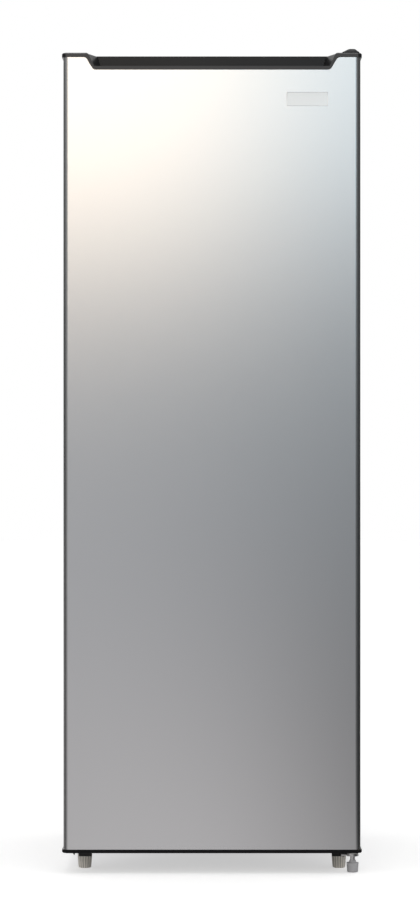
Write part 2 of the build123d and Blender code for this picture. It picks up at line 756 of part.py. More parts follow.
with BuildPart() as door_panel:
    with BuildSketch(Plane.XY.offset(panel_bottom_z)) as section:
        with Locations((0, panel_front_y)):
            Rectangle(panel_width, door_depth, align=(Align.CENTER, Align.MIN))
        fillet(section.vertices().group_by(Axis.Y)[0], panel_edge_radius)
        offset(amount=-sheet, mode=Mode.SUBTRACT)
        with Locations((0, door_back_y)):
            Rectangle(panel_width - 2 * return_flange, door_depth / 2,
                      align=(Align.CENTER, Align.MAX), mode=Mode.SUBTRACT)
    extrude(amount=panel_height)
    cutout = trapezoid_front(panel_front_y, cutout_top_half, cutout_bottom_half,
                             panel_top_z, cutout_bottom_z)
    extrude(cutout, amount=-sheet, mode=Mode.SUBTRACT)
    corners = door_panel.edges().filter_by(Axis.Y).filter_by(
        lambda edge: abs(edge.center().Z - cutout_bottom_z) < sheet / 2)
    fillet(corners, cutout_corner_radius)


def end_cap_slab(bottom_z, height):
    """Plain slab of an end cap, the width of the door and its two ears."""
    with BuildSketch(Plane.XY.offset(bottom_z)) as plan:
        with Locations((0, door_front_y)):
            Rectangle(2 * cap_half, cap_proud + door_depth, align=(Align.CENTER, Align.MIN))
        chamfer(plan.vertices().group_by(Axis.Y)[0], cap_corner_radius)
    extrude(plan.sketch, amount=height)


scoop_outer_half = cutout_top_half
with BuildPart() as scoop_body:
    with BuildSketch(Plane.XY.offset(scoop_floor_z - scoop_wall)):
        with Locations((0, panel_front_y + sheet)):
            Rectangle(2 * scoop_outer_half, door_depth - sheet, align=(Align.CENTER, Align.MIN))
    extrude(amount=panel_top_z - scoop_floor_z + scoop_wall)
    with BuildSketch(Plane.XY.offset(top_bush_bottom_z)):
        with Locations((hinge_x, hinge_y)):
            RegularPolygon(top_bush_radius + bush_boss_wall, round_sides)
    extrude(amount=panel_top_z - top_bush_bottom_z)


def scoop_end(level, setback):
    """Half width of the scoop at a level, setback behind its front."""
    lip_end = cutout_top_half - lip_side - cutout_slope * (panel_top_z - level)
    return lip_end - scoop_end_draft * setback / (scoop_back_y - scoop_front_y)


def scoop_mouth(y, setback, bottom_z):
    """Front view of the scoop's hollow down to bottom_z, its upper corners flared onto the cap."""
    with BuildSketch(facing_front(y)) as mouth:
        with BuildLine():
            Polyline((-scoop_end(cap_top_z, setback), cap_top_z),
                     (-scoop_end(bottom_z, setback), bottom_z),
                     (scoop_end(bottom_z, setback), bottom_z),
                     (scoop_end(cap_top_z, setback), cap_top_z), close=True)
        make_face()
        with Locations((0, cap_top_z)):
            Rectangle(2 * scoop_end(cap_top_z, setback) + 4 * scoop_rim_radius, sheet,
                      align=(Align.CENTER, Align.MIN))
        fillet(mouth.vertices().filter_by(
            lambda corner: abs(corner.Y - cap_top_z) < sheet / 2
            and abs(corner.X) < scoop_end(cap_top_z, setback) + scoop_rim_radius), scoop_rim_radius)
    return mouth.sketch


with BuildPart() as door_top_cap:
    end_cap_slab(panel_top_z, top_cap_height)
    chamfer(door_top_cap.faces().sort_by(Axis.Z)[-1].edges(), cap_edge_radius)
    add(scoop_body.part)
    lip = trapezoid_front(door_front_y, cutout_top_half, cutout_bottom_half, panel_top_z,
                          cutout_bottom_z)
    extrude(lip, amount=-(cap_proud + sheet))
    lip_edges = door_top_cap.edges().filter_by(Axis.Y).filter_by(
        lambda edge: abs(edge.center().Z - cutout_bottom_z) < sheet
        and edge.center().Y < panel_front_y + sheet)
    fillet(lip_edges, cutout_corner_radius)
    # the way in over the lip, then the scoop itself, which narrows towards its back
    scoop_length = scoop_back_y - scoop_front_y
    extrude(scoop_mouth(door_front_y, 0, lip_top_z), amount=-lip_depth, mode=Mode.SUBTRACT)
    loft([scoop_mouth(scoop_front_y, 0, scoop_floor_z),
          scoop_mouth(scoop_back_y, scoop_length, scoop_floor_z)], ruled=True, mode=Mode.SUBTRACT)
    with BuildSketch(Plane.XY.offset(top_bush_bottom_z)):
        with Locations((hinge_x, hinge_y)):
            RegularPolygon(top_bush_radius, round_sides)
    extrude(amount=cap_top_z - top_bush_bottom_z, mode=Mode.SUBTRACT)

with BuildPart() as door_bottom_cap:
    end_cap_slab(cap_bottom_z, bottom_cap_height)
    chamfer(door_bottom_cap.faces().sort_by(Axis.Z)[0].edges(), cap_edge_radius)
    with BuildSketch(Plane.XY.offset(cap_bottom_z)):
        with Locations((hinge_x, hinge_y)):
            RegularPolygon(lower_bush_radius, round_sides)
    extrude(amount=bottom_cap_height, mode=Mode.SUBTRACT)

liner_back_y = door_back_y + door_liner_wall
with BuildPart() as door_liner:
    with BuildSketch(facing_front(door_back_y)):
        with Locations((0, (panel_bottom_z + panel_top_z) / 2)):
            Rectangle(panel_width - 2 * sheet, panel_height - 2 * sheet)
    extrude(amount=-door_liner_wall)
    extrude(frame_ring(door_back_y, dyke_half, dyke_bottom_z, dyke_top_z, dyke_width),
            amount=-dyke_depth)
    extrude(frame_ring(door_back_y, dyke_half - door_liner_wall, dyke_bottom_z + door_liner_wall,
                       dyke_top_z - door_liner_wall, dyke_width - 2 * door_liner_wall),
            amount=-(dyke_depth - door_liner_wall), mode=Mode.SUBTRACT)

# the foam behind the lining is one pour, kept as two solids that touch: the slab and the rim
with BuildPart() as foam_slab:
    with BuildSketch(Plane.XY.offset(panel_bottom_z)) as fill:
        with Locations((0, panel_front_y)):
            Rectangle(panel_width, door_depth, align=(Align.CENTER, Align.MIN))
        fillet(fill.vertices().group_by(Axis.Y)[0], panel_edge_radius)
        offset(amount=-sheet, mode=Mode.REPLACE)
        with Locations((0, door_back_y)):
            Rectangle(panel_width - 2 * return_flange, 2 * sheet, align=(Align.CENTER, Align.MAX))
    extrude(amount=panel_height)
    add(scoop_body.part, mode=Mode.SUBTRACT)
    with BuildSketch(facing_front(panel_front_y + sheet)):
        with Locations((0, panel_top_z)):
            Rectangle(2 * cutout_top_half, 2 * cutout_depth)
    extrude(amount=-sheet, mode=Mode.SUBTRACT)
    with BuildSketch(Plane.XY.offset(cap_bottom_z)):
        with Locations((hinge_x, hinge_y)):
            RegularPolygon(lower_bush_radius, round_sides)
    extrude(amount=lower_bush_depth, mode=Mode.SUBTRACT)
with BuildPart() as foam_rim:
    extrude(frame_ring(door_back_y, dyke_half - door_liner_wall, dyke_bottom_z + door_liner_wall,
                       dyke_top_z - door_liner_wall, dyke_width - 2 * door_liner_wall),
            amount=-(dyke_depth - door_liner_wall))
door_foam = Compound([foam_slab.part.solid(), foam_rim.part.solid()])
door_foam.label = "door_foam"
export_step(door_foam, "parts/door_foam.step")

with BuildPart() as door_gasket:
    extrude(frame_ring(liner_back_y, gasket_outer_half, gasket_bottom_z, gasket_top_z, gasket_width),
            amount=-gasket_base)
    extrude(frame_ring(liner_back_y + gasket_base, gasket_outer_half - gasket_lip_step,
                       gasket_bottom_z + gasket_lip_step, gasket_top_z - gasket_lip_step,
                       gasket_width - gasket_lip_step),
            amount=-(gasket_depth - door_liner_wall - gasket_base - running_gap))

for name, piece in (("top_hinge_bush", top_hinge_bush), ("bottom_hinge_bush", bottom_hinge_bush),
                    ("door_panel", door_panel), ("door_top_cap", door_top_cap),
                    ("door_bottom_cap", door_bottom_cap), ("door_liner", door_liner),
                    ("door_gasket", door_gasket)):
    piece.part.label = name
    export_step(piece.part, f"parts/{name}.step")


def rack_profile(floor_z, inset):
    """Side view of a door rack, drawn in by inset except at its open back and top."""
    front_y = liner_back_y + rack_depth - inset
    with BuildSketch(Plane.YZ) as profile:
        with BuildLine():
            Polyline((liner_back_y, floor_z + inset), (front_y, floor_z + inset),
                     (front_y + rack_lean, floor_z + rack_height),
                     (liner_back_y, floor_z + rack_height), close=True)
        make_face()
    return profile.sketch


for number in range(1, rack_count + 1):
    floor_z = first_rack_z + (number - 1) * rack_pitch
    with BuildPart() as door_rack:
        extrude(rack_profile(floor_z, 0), amount=rack_half, both=True)
        extrude(rack_profile(floor_z, rack_wall), amount=rack_half - rack_wall, both=True,
                mode=Mode.SUBTRACT)
    door_rack.part.label = f"door_rack_{number}"
    export_step(door_rack.part, f"parts/door_rack_{number}.step")

# ------------------------------------------------------------------ feet and rollers
with BuildPart() as foot_brackets:
    bracket_front_y = cabinet_front_y + skirt_front_gap
    plate_z = base_z - bracket_sheet
    with BuildSketch(Plane.XY.offset(plate_z)):
        with Locations((-foot_x - bracket_outer_reach, bracket_front_y)):
            Rectangle(bracket_outer_reach + bracket_inner_reach,
                      foot_y + bracket_back_reach - bracket_front_y, align=(Align.MIN, Align.MIN))
        with Locations(foot_stations[0]):
            RegularPolygon(stud_hole_radius, small_sides, major_radius=False,
                           mode=Mode.SUBTRACT)
    extrude(amount=bracket_sheet)
    with BuildSketch(facing_front(bracket_front_y)):
        with Locations((-foot_x - skirt_outer_reach, skirt_bottom_z)):
            Rectangle(skirt_outer_reach + bracket_inner_reach, plate_z - skirt_bottom_z,
                      align=(Align.MIN, Align.MIN))
        with BuildLine():
            wing_x = -foot_x - bracket_outer_reach
            Polyline((wing_x, plate_z), (wing_x + wing_width, plate_z),
                     (wing_x + wing_width / 2, plate_z - wing_drop), close=True)
        make_face()
    extrude(amount=-bracket_sheet)
    mirror(about=Plane.YZ)
foot_brackets.part.label = "foot_brackets"
export_step(foot_brackets.part, "parts/foot_brackets.step")


def ribbed_outline(station, z, diameter):
    """Corners of a ribbed cup at a level: its ridges, with a groove between each two."""
    outline = round_outline(station, z, diameter, 2 * cup_ribs)
    middle = Vector(*station, z)
    groove = 1 - 2 * cup_rib_depth / cup_top_diameter
    return [middle + (corner - middle) * (groove if i % 2 else 1)
            for i, corner in enumerate(outline)]


def stud_bore(station, diameter, top_z):
    """Blind bore from the top of a cup, for the stud that turns in it."""
    with BuildSketch(Plane.XY.offset(stud_bottom_z - running_gap)) as bore:
        with Locations(station):
            RegularPolygon(diameter / 2 + running_gap, small_sides, major_radius=False)
    extrude(bore.sketch, amount=top_z - stud_bottom_z + running_gap, mode=Mode.SUBTRACT)


for side, station in zip(("left", "right"), foot_stations):
    with BuildPart() as foot_cup:
        add(flat_sided([ribbed_outline(station, 0, cup_bottom_diameter - 2 * cup_sole_step),
                        ribbed_outline(station, cup_sole, cup_bottom_diameter),
                        ribbed_outline(station, cup_height, cup_top_diameter)]))
        stud_bore(station, stud_diameter, cup_height)
    foot_cup.part.label = f"{side}_foot_cup"
    export_step(foot_cup.part, f"parts/{side}_foot_cup.step")

    with BuildPart() as foot_stud:
        with BuildSketch(Plane.XY.offset(stud_bottom_z)):
            with Locations(station):
                RegularPolygon(stud_diameter / 2, small_sides)
        extrude(amount=stud_top_z - stud_bottom_z)
    foot_stud.part.label = f"{side}_foot_stud"
    export_step(foot_stud.part, f"parts/{side}_foot_stud.step")

hinge_cup_cone_top_z = hinge_cup_height + hinge_cup_cone_height
with BuildPart() as hinge_foot_cup:
    add(flat_sided([round_outline((hinge_x, hinge_y), z, diameter, round_sides)
                    for z, diameter in (
                        (0, hinge_cup_bottom_diameter - 2 * hinge_cup_edge),
                        (hinge_cup_edge, hinge_cup_bottom_diameter),
                        (hinge_cup_height, hinge_cup_top_diameter),
                        (hinge_cup_height, hinge_cup_cone_diameter),
                        (hinge_cup_cone_top_z, 2 * (hinge_bore_radius + hinge_cup_edge)))]))
    stud_bore((hinge_x, hinge_y), hinge_stud_diameter, hinge_cup_cone_top_z)
hinge_foot_cup.part.label = "hinge_foot_cup"
export_step(hinge_foot_cup.part, "parts/hinge_foot_cup.step")

with BuildPart() as hinge_foot_stud:
    with BuildSketch(Plane.XY.offset(stud_bottom_z)):
        with Locations((hinge_x, hinge_y)):
            RegularPolygon(hinge_stud_diameter / 2, small_sides)
    extrude(amount=stud_top_z - stud_bottom_z)
hinge_foot_stud.part.label = "hinge_foot_stud"
export_step(hinge_foot_stud.part, "parts/hinge_foot_stud.step")

fork_half = roller_width / 2 + roller_side_gap
roller_stations = ((-roller_x, roller_y), (roller_x, roller_y))
with BuildPart() as rear_roller_brackets:
    with BuildSketch(facing_front(roller_y)):
        with Locations((roller_x, base_z)):
            Rectangle(2 * (fork_half + fork_sheet), base_z - roller_z + axle_diameter,
                      align=(Align.CENTER, Align.MAX))
        with Locations((roller_x, base_z - fork_sheet)):
            Rectangle(2 * fork_half, base_z, align=(Align.CENTER, Align.MAX), mode=Mode.SUBTRACT)
    extrude(amount=fork_length / 2, both=True)
    with BuildSketch(Plane.YZ.offset(roller_x)):
        with Locations((roller_y, roller_z)):
            RegularPolygon(axle_diameter / 2, small_sides)
    extrude(amount=fork_half + fork_sheet, both=True, mode=Mode.SUBTRACT)
    mirror(about=Plane.YZ)

with BuildPart() as rear_roller_axles:
    with BuildSketch(Plane.YZ.offset(roller_x)):
        with Locations((roller_y, roller_z)):
            RegularPolygon(axle_diameter / 2, small_sides)
    extrude(amount=fork_half + fork_sheet, both=True)
    with BuildSketch(Plane.YZ.offset(roller_x + fork_half + fork_sheet)):
        with Locations((roller_y, roller_z)):
            RegularPolygon(axle_diameter / 2 + axle_head, small_sides)
    extrude(amount=axle_head)
    mirror(about=Plane.YZ)

for name, piece in (("rear_roller_brackets", rear_roller_brackets),
                    ("rear_roller_axles", rear_roller_axles)):
    piece.part.label = name
    export_step(piece.part, f"parts/{name}.step")

for side, station in zip(("left", "right"), roller_stations):
    with BuildPart() as rear_roller:
        with BuildSketch(Plane.YZ.offset(station[0])):
            with Locations((roller_y, roller_z)):
                RegularPolygon(roller_diameter / 2, round_sides)
                RegularPolygon(axle_diameter / 2 + running_gap, small_sides, major_radius=False,
                               mode=Mode.SUBTRACT)
        extrude(amount=roller_width / 2, both=True)
    rear_roller.part.label = f"rear_{side}_roller"
    export_step(rear_roller.part, f"parts/rear_{side}_roller.step")

# ------------------------------------------------------------------ compressor
stud_half_x = feet_length / 2 - grommet_diameter / 2
stud_half_y = feet_width / 2 - grommet_diameter / 2
compressor_spot = Location((compressor_x, compressor_y, 0))
grommet_hole_radius = compressor_stud_diameter / 2 + grommet_hole_gap
gland_z = mount_top_z + mount_flange / 2

# channel across the machine bay, with the compressor's studs welded to it
with BuildPart() as compressor_mount_plate:
    with BuildSketch(Plane.YZ):
        with BuildLine():
            Polyline((mount_front_y, base_z), (mount_back_y, base_z),
                     (mount_back_y, mount_top_z + mount_flange),
                     (mount_back_y - mount_sheet, mount_top_z + mount_flange),
                     (mount_back_y - mount_sheet, mount_top_z),
                     (mount_front_y + mount_sheet, mount_top_z),
                     (mount_front_y + mount_sheet, mount_top_z + mount_flange),
                     (mount_front_y, mount_top_z + mount_flange), close=True)
        make_face()
    extrude(amount=cabinet_half - sheet, both=True)
    with BuildSketch(facing_front(mount_back_y - mount_sheet)):
        with Locations((gland_x, gland_z)):
            RegularPolygon(gland_diameter / 2, small_sides)
    extrude(amount=-mount_sheet, mode=Mode.SUBTRACT)
    with BuildSketch(Plane.XY.offset(mount_top_z)):
        with Locations(compressor_spot):
            with GridLocations(2 * stud_half_x, 2 * stud_half_y, 2, 2):
                RegularPolygon(compressor_stud_diameter / 2, 6)
    extrude(amount=grommet_height + feet_sheet)
    with BuildSketch(Plane.XY.offset(feet_z + feet_sheet)):
        with Locations(compressor_spot):
            with GridLocations(2 * stud_half_x, 2 * stud_half_y, 2, 2):
                RegularPolygon(nut_diameter / 2, 6)
    extrude(amount=nut_height)

with BuildPart() as compressor_grommets:
    with BuildSketch(Plane.XY.offset(mount_top_z)):
        with Locations(compressor_spot):
            with GridLocations(2 * stud_half_x, 2 * stud_half_y, 2, 2):
                RegularPolygon(grommet_diameter / 2, small_sides)
                RegularPolygon(grommet_hole_radius, 6, mode=Mode.SUBTRACT)
    extrude(amount=grommet_height)

with BuildPart() as compressor_feet_plate:
    with BuildSketch(Plane.XY.offset(feet_z)) as feet_plan:
        with Locations(compressor_spot):
            Rectangle(feet_length, feet_width)
        chamfer(feet_plan.vertices(), grommet_diameter / 4)
        with Locations(compressor_spot):
            with GridLocations(2 * stud_half_x, 2 * stud_half_y, 2, 2):
                RegularPolygon(grommet_hole_radius, 6, mode=Mode.SUBTRACT)
    extrude(amount=feet_sheet)


def pot_half(height, outward):
    """One half of the housing, from the seam upwards (outward 1) or downwards (outward -1)."""
    inner_radius = compressor_radius - compressor_wall
    bevel = pot_radius * (1 - math.sqrt(0.5))

    def stack(rows):
        """Solid through rows of a distance from the seam and a radius."""
        return flat_sided([round_outline((compressor_x, compressor_y), seam_z + outward * rise,
                                         2 * radius, round_sides) for rise, radius in rows])

    with BuildPart() as half:
        add(stack([(0, compressor_radius + seam_flange),
                   (seam_height, compressor_radius + seam_flange),
                   (seam_height, compressor_radius), (height - pot_radius, compressor_radius),
                   (height - bevel, compressor_radius - bevel),
                   (height, compressor_radius - pot_radius)]))
        add(stack([(0, inner_radius), (height - pot_radius, inner_radius),
                   (height - compressor_wall, inner_radius - pot_radius)]), mode=Mode.SUBTRACT)
    return half.part


compressor_lower_shell = pot_half(lower_pot_height, -1)
compressor_upper_shell = pot_half(upper_pot_height, 1)

with BuildPart() as compressor_motor:
    with BuildSketch(Plane.XY.offset(compressor_bottom_z + compressor_wall)):
        with Locations(compressor_spot):
            RegularPolygon(motor_neck_radius, small_sides)
    extrude(amount=motor_neck_height)
    with BuildSketch(Plane.XY.offset(compressor_bottom_z + compressor_wall + motor_neck_height)):
        with Locations(compressor_spot):
            RegularPolygon(motor_radius, round_sides)
    extrude(amount=motor_height)

with BuildPart() as relay_cover:
    relay_x = compressor_x - compressor_radius - seam_flange
    with BuildSketch(Plane.XY.offset(seam_z - seam_height)):
        with Locations((relay_x, compressor_y)):
            Rectangle(relay_depth, relay_length, align=(Align.MAX, Align.CENTER))
            Rectangle(relay_depth, relay_length / 2, align=(Align.MIN, Align.CENTER))
        with Locations((compressor_x, compressor_y)):
            RegularPolygon(compressor_radius + seam_flange, round_sides, mode=Mode.SUBTRACT)
    extrude(amount=relay_height / 2, both=True)
    chamfer(relay_cover.faces().sort_by(Axis.X)[0].edges(), relay_depth / 8)

for name, piece in (("compressor_mount_plate", compressor_mount_plate),
                    ("compressor_grommets", compressor_grommets),
                    ("compressor_feet_plate", compressor_feet_plate),
                    ("compressor_motor", compressor_motor), ("relay_cover", relay_cover)):
    piece.part.label = name
    export_step(piece.part, f"parts/{name}.step")

for name, piece in (("compressor_lower_shell", compressor_lower_shell),
                    ("compressor_upper_shell", compressor_upper_shell)):
    piece.label = name
    export_step(piece, f"parts/{name}.step")

# ------------------------------------------------------------------ condenser
condenser_end = condenser_half_run + line_bend_radius
condenser_tube = serpentine_tube(condenser_passes, Vector(0, condenser_y, condenser_top_z),
                                 Vector(0, 0, -1), condenser_half_run, condenser_pitch,
                                 condenser_end, condenser_end - line_bend_radius,
                                 condenser_tube_diameter)
condenser_tube.label = "condenser_tube"
export_step(condenser_tube, "parts/condenser_tube.step")

wire_offset = (condenser_tube_diameter + condenser_wire_diameter) / 2
with BuildPart() as condenser_wires:
    for i in range(condenser_wires_count):
        wire_x = (i - (condenser_wires_count - 1) / 2) * condenser_wire_pitch
        wire_y = condenser_y + (wire_offset if i % 2 else -wire_offset)
        with BuildSketch(Plane.XY.offset(condenser_bottom_z - condenser_wire_overhang)):
            with Locations((wire_x, wire_y)):
                Rectangle(condenser_wire_diameter, condenser_wire_diameter)
        extrude(amount=condenser_top_z - condenser_bottom_z + 2 * condenser_wire_overhang)
condenser_wires.part.label = "condenser_wires"
export_step(condenser_wires.part, "parts/condenser_wires.step")

with BuildPart() as condenser_spacers:
    spacer_x = condenser_wire_pitch * (condenser_wires_count / 2 - 2)
    for pass_number in (1, condenser_passes - 2):
        spacer_z = condenser_top_z - pass_number * condenser_pitch
        with BuildSketch(facing_front(cabinet_back_y)):
            with Locations((-spacer_x, spacer_z), (spacer_x, spacer_z)):
                Rectangle(spacer_width, spacer_height)
        extrude(amount=-(condenser_standoff - condenser_tube_diameter / 2))
condenser_spacers.part.label = "condenser_spacers"
export_step(condenser_spacers.part, "parts/condenser_spacers.step")

# ------------------------------------------------------------------ evaporator shelves
port_x = cavity_half + liner_wall
for number, level in enumerate(shelf_levels, start=1):
    through_wall = number in (1, shelf_count)
    shelf_tube = serpentine_tube(shelf_passes, Vector(0, shelf_back_y, level), Vector(0, -1, 0),
                                 shelf_half_run, shelf_pass_pitch,
                                 -port_x if through_wall else -riser_start, -riser_start,
                                 shelf_tube_diameter)
    shelf_tube.label = f"evaporator_tube_{number}"
    export_step(shelf_tube, f"parts/evaporator_tube_{number}.step")

with BuildPart() as evaporator_wires:
    wire_front_y = shelf_front_y - shelf_wire_overhang
    wire_back_y = shelf_back_y + shelf_tube_diameter / 2
    for level in shelf_levels:
        with BuildSketch(facing_front(wire_front_y)):
            with Locations((0, level + (shelf_tube_diameter + shelf_wire_diameter) / 2)):
                with GridLocations(shelf_wire_pitch, 0, shelf_wires_count, 1):
                    Rectangle(shelf_wire_diameter, shelf_wire_diameter)
        extrude(amount=wire_front_y - wire_back_y)
evaporator_wires.part.label = "evaporator_wires"
export_step(evaporator_wires.part, "parts/evaporator_wires.step")

with BuildPart() as evaporator_risers:
    for number in range(1, shelf_count):
        # front, back, front: each riser joins the ends that lie above each other
        riser_y = shelf_back_y if (shelf_count - number) % 2 == 0 else shelf_front_y
        low, high = shelf_levels[number - 1], shelf_levels[number]
        add(bent_tube([(-riser_start, riser_y, high), (-riser_start - riser_reach, riser_y, high),
                       (-riser_start - riser_reach, riser_y, low), (-riser_start, riser_y, low)],
                      riser_radius, shelf_tube_diameter))
evaporator_risers.part.label = "evaporator_risers"
export_step(evaporator_risers.part, "parts/evaporator_risers.step")

# brackets on the side walls, each under one bend of a shelf
bend_reach = shelf_half_run + shelf_pass_pitch / 2 - shelf_tube_diameter / 2
clip_stations = []
for bend in range(shelf_passes - 1):
    bend_y = shelf_back_y - (bend + 0.5) * shelf_pass_pitch
    clip_stations.append((1 if bend % 2 == 0 else -1, bend_y))
with BuildPart() as shelf_clips:
    for level in shelf_levels:
        ledge_top = level - shelf_tube_diameter / 2
        for side, bend_y in (clip_stations[0], clip_stations[1], clip_stations[-2], clip_stations[-1]):
            with BuildSketch(facing_front(bend_y)):
                with BuildLine():
                    Polyline((side * cavity_half, ledge_top - clip_ledge),
                             (side * bend_reach, ledge_top - clip_ledge),
                             (side * bend_reach, ledge_top),
                             (side * (cavity_half - clip_plate), ledge_top),
                             (side * (cavity_half - clip_plate), ledge_top + clip_rise),
                             (side * cavity_half, ledge_top + clip_rise), close=True)
                make_face()
            extrude(amount=clip_width / 2, both=True)
shelf_clips.part.label = "shelf_clips"
export_step(shelf_clips.part, "parts/shelf_clips.step")

# ------------------------------------------------------------------ refrigerant lines
discharge_start_x = compressor_x + compressor_radius
discharge_tube = bent_tube([(discharge_start_x, compressor_y, compressor_port_z),
                            (discharge_x, compressor_y, compressor_port_z),
                            (discharge_x, condenser_y, compressor_port_z),
                            (discharge_x, condenser_y, condenser_top_z),
                            (condenser_end, condenser_y, condenser_top_z)],
                           line_bend_radius, condenser_tube_diameter)
discharge_tube.label = "discharge_tube"
export_step(discharge_tube, "parts/discharge_tube.step")

# from the condenser's last pass, down into the drier
drier_top_z = condenser_bottom_z - 2 * line_bend_radius
drier_bottom_z = drier_top_z - drier_length
drier_neck = 2 * condenser_tube_diameter
with BuildPart() as filter_drier:
    add(flat_sided([round_outline((drier_x, condenser_y), z, diameter, small_sides)
                    for z, diameter in ((drier_bottom_z, drier_neck / 2),
                                        (drier_bottom_z + drier_cone, drier_diameter),
                                        (drier_top_z - drier_cone, drier_diameter),
                                        (drier_top_z, drier_neck))]))
    add(bent_tube([(condenser_half_run, condenser_y, condenser_bottom_z),
                   (drier_x, condenser_y, condenser_bottom_z),
                   (drier_x, condenser_y, drier_top_z)],
                  drier_bend_radius, condenser_tube_diameter))
filter_drier.part.label = "filter_drier"
export_step(filter_drier.part, "parts/filter_drier.step")

# the capillary crosses the back below the condenser and climbs to the top shelf's port
behind_panel_y = cabinet_back_y + line_behind_panel
crossing_z = drier_bottom_z - capillary_drop
capillary_tube = bent_tube([(drier_x, condenser_y, drier_bottom_z), (drier_x, condenser_y, crossing_z),
                            (capillary_x, condenser_y, crossing_z),
                            (capillary_x, behind_panel_y, crossing_z),
                            (capillary_x, behind_panel_y, shelf_levels[-1]),
                            (capillary_x, shelf_back_y, shelf_levels[-1]),
                            (-port_x, shelf_back_y, shelf_levels[-1])],
                           capillary_bend_radius, capillary_diameter)
capillary_tube.label = "capillary_tube"
export_step(capillary_tube, "parts/capillary_tube.step")

# the suction line leaves the lowest shelf's port and comes back to the compressor's crown
crown_z = seam_z + upper_pot_height
suction_z = crown_z + suction_rise
suction_tube = bent_tube([(compressor_x, compressor_y, crown_z),
                          (compressor_x, compressor_y, suction_z),
                          (suction_x, compressor_y, suction_z),
                          (suction_x, behind_panel_y, suction_z),
                          (suction_x, behind_panel_y, shelf_levels[0]),
                          (suction_x, shelf_back_y, shelf_levels[0]),
                          (-port_x, shelf_back_y, shelf_levels[0])],
                         line_bend_radius, line_diameter)
suction_tube.label = "suction_tube"
export_step(suction_tube, "parts/suction_tube.step")

# ------------------------------------------------------------------ thermostat and mains inlet
with BuildPart() as thermostat_box:
    with BuildSketch(Plane.XY.offset(mount_top_z)) as box_plan:
        with Locations((thermostat_x, thermostat_back_y)):
            Rectangle(thermostat_width, thermostat_depth, align=(Align.CENTER, Align.MAX))
        chamfer(box_plan.vertices(), thermostat_edge_radius)
    extrude(amount=thermostat_height)
    chamfer(thermostat_box.faces().sort_by(Axis.Z)[-1].edges(), thermostat_edge_radius / 2)

knob_z = mount_top_z + thermostat_height - knob_diameter / 2 - thermostat_edge_radius * 2
knob_base = knob_height - knob_grip
with BuildPart() as thermostat_knob:
    knob_front = thermostat_back_y + running_gap
    with BuildSketch(facing_front(knob_front)):
        with Locations((thermostat_x, knob_z)):
            RegularPolygon(knob_diameter / 2, round_sides)
    extrude(amount=-knob_base)
    with BuildSketch(facing_front(knob_front + knob_base)):
        with Locations((thermostat_x, knob_z)):
            Rectangle(knob_grip, knob_diameter - knob_grip)
    extrude(amount=-knob_grip)

with BuildPart() as cord_gland:
    with BuildSketch(facing_front(mount_back_y)):
        with Locations((gland_x, gland_z)):
            RegularPolygon(gland_diameter / 2 + gland_flange, small_sides)
    extrude(amount=-gland_flange)
    with BuildSketch(facing_front(mount_back_y)):
        with Locations((gland_x, gland_z)):
            RegularPolygon(gland_diameter / 2, small_sides)
    extrude(amount=gland_length)
    with BuildSketch(facing_front(mount_back_y + gland_flange)):
        with Locations((gland_x, gland_z)):
            RegularPolygon(gland_bore / 2, small_sides)
    extrude(amount=gland_length + gland_flange, mode=Mode.SUBTRACT)

for name, piece in (("thermostat_box", thermostat_box), ("thermostat_knob", thermostat_knob),
                    ("cord_gland", cord_gland)):
    piece.part.label = name
    export_step(piece.part, f"parts/{name}.step")
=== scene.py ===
"""Upright freezer: the look of its pieces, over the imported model.

Metres. +X is the viewer's right, +Y runs from the door to the back, +Z is up.
"""
import json
import logging
import math
from collections.abc import Callable, Iterator
from contextlib import contextmanager
from dataclasses import dataclass
from enum import Enum

import bmesh
import bpy
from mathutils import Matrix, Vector

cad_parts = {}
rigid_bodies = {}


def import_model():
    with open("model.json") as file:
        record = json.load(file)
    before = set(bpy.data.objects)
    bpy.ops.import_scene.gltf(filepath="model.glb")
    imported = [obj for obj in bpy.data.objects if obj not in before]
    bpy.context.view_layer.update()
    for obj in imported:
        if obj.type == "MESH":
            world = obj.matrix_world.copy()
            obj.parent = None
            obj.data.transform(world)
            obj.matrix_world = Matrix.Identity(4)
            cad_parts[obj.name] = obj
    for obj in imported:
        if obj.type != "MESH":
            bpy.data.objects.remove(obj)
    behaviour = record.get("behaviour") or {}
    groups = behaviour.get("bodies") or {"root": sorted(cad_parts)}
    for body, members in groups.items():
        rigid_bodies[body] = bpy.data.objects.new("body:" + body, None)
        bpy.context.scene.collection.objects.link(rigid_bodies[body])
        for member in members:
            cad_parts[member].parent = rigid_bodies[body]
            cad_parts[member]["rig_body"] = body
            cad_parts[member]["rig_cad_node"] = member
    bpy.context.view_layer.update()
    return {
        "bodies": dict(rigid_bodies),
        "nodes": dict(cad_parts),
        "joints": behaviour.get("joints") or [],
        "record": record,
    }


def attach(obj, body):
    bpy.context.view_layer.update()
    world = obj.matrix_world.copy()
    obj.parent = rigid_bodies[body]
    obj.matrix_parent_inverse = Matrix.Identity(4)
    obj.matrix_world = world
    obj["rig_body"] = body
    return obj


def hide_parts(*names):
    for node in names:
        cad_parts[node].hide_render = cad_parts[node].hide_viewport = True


Colour = tuple[float, float, float]
Point = tuple[float, float, float]
Span = tuple[float, float]
Shades = tuple[tuple[float, float | Colour], ...]
Piece = bpy.types.Object
Socket = bpy.types.NodeSocket
Source = float | Colour | Socket

log = logging.getLogger("freezer")


# ---------------- sizes shared by the sub-assemblies
@dataclass(frozen=True)
class FreezerSizes:
    """Places that several sub-assemblies need, in metres."""

    door_front_y: float = -0.2875
    panel_front_y: float = -0.2865
    cabinet_back_y: float = 0.2455
    cabinet_half: float = 0.2725
    foot: tuple[float, float] = (0.2365, -0.2065)
    condenser_y: float = 0.2795


SIZES = FreezerSizes()


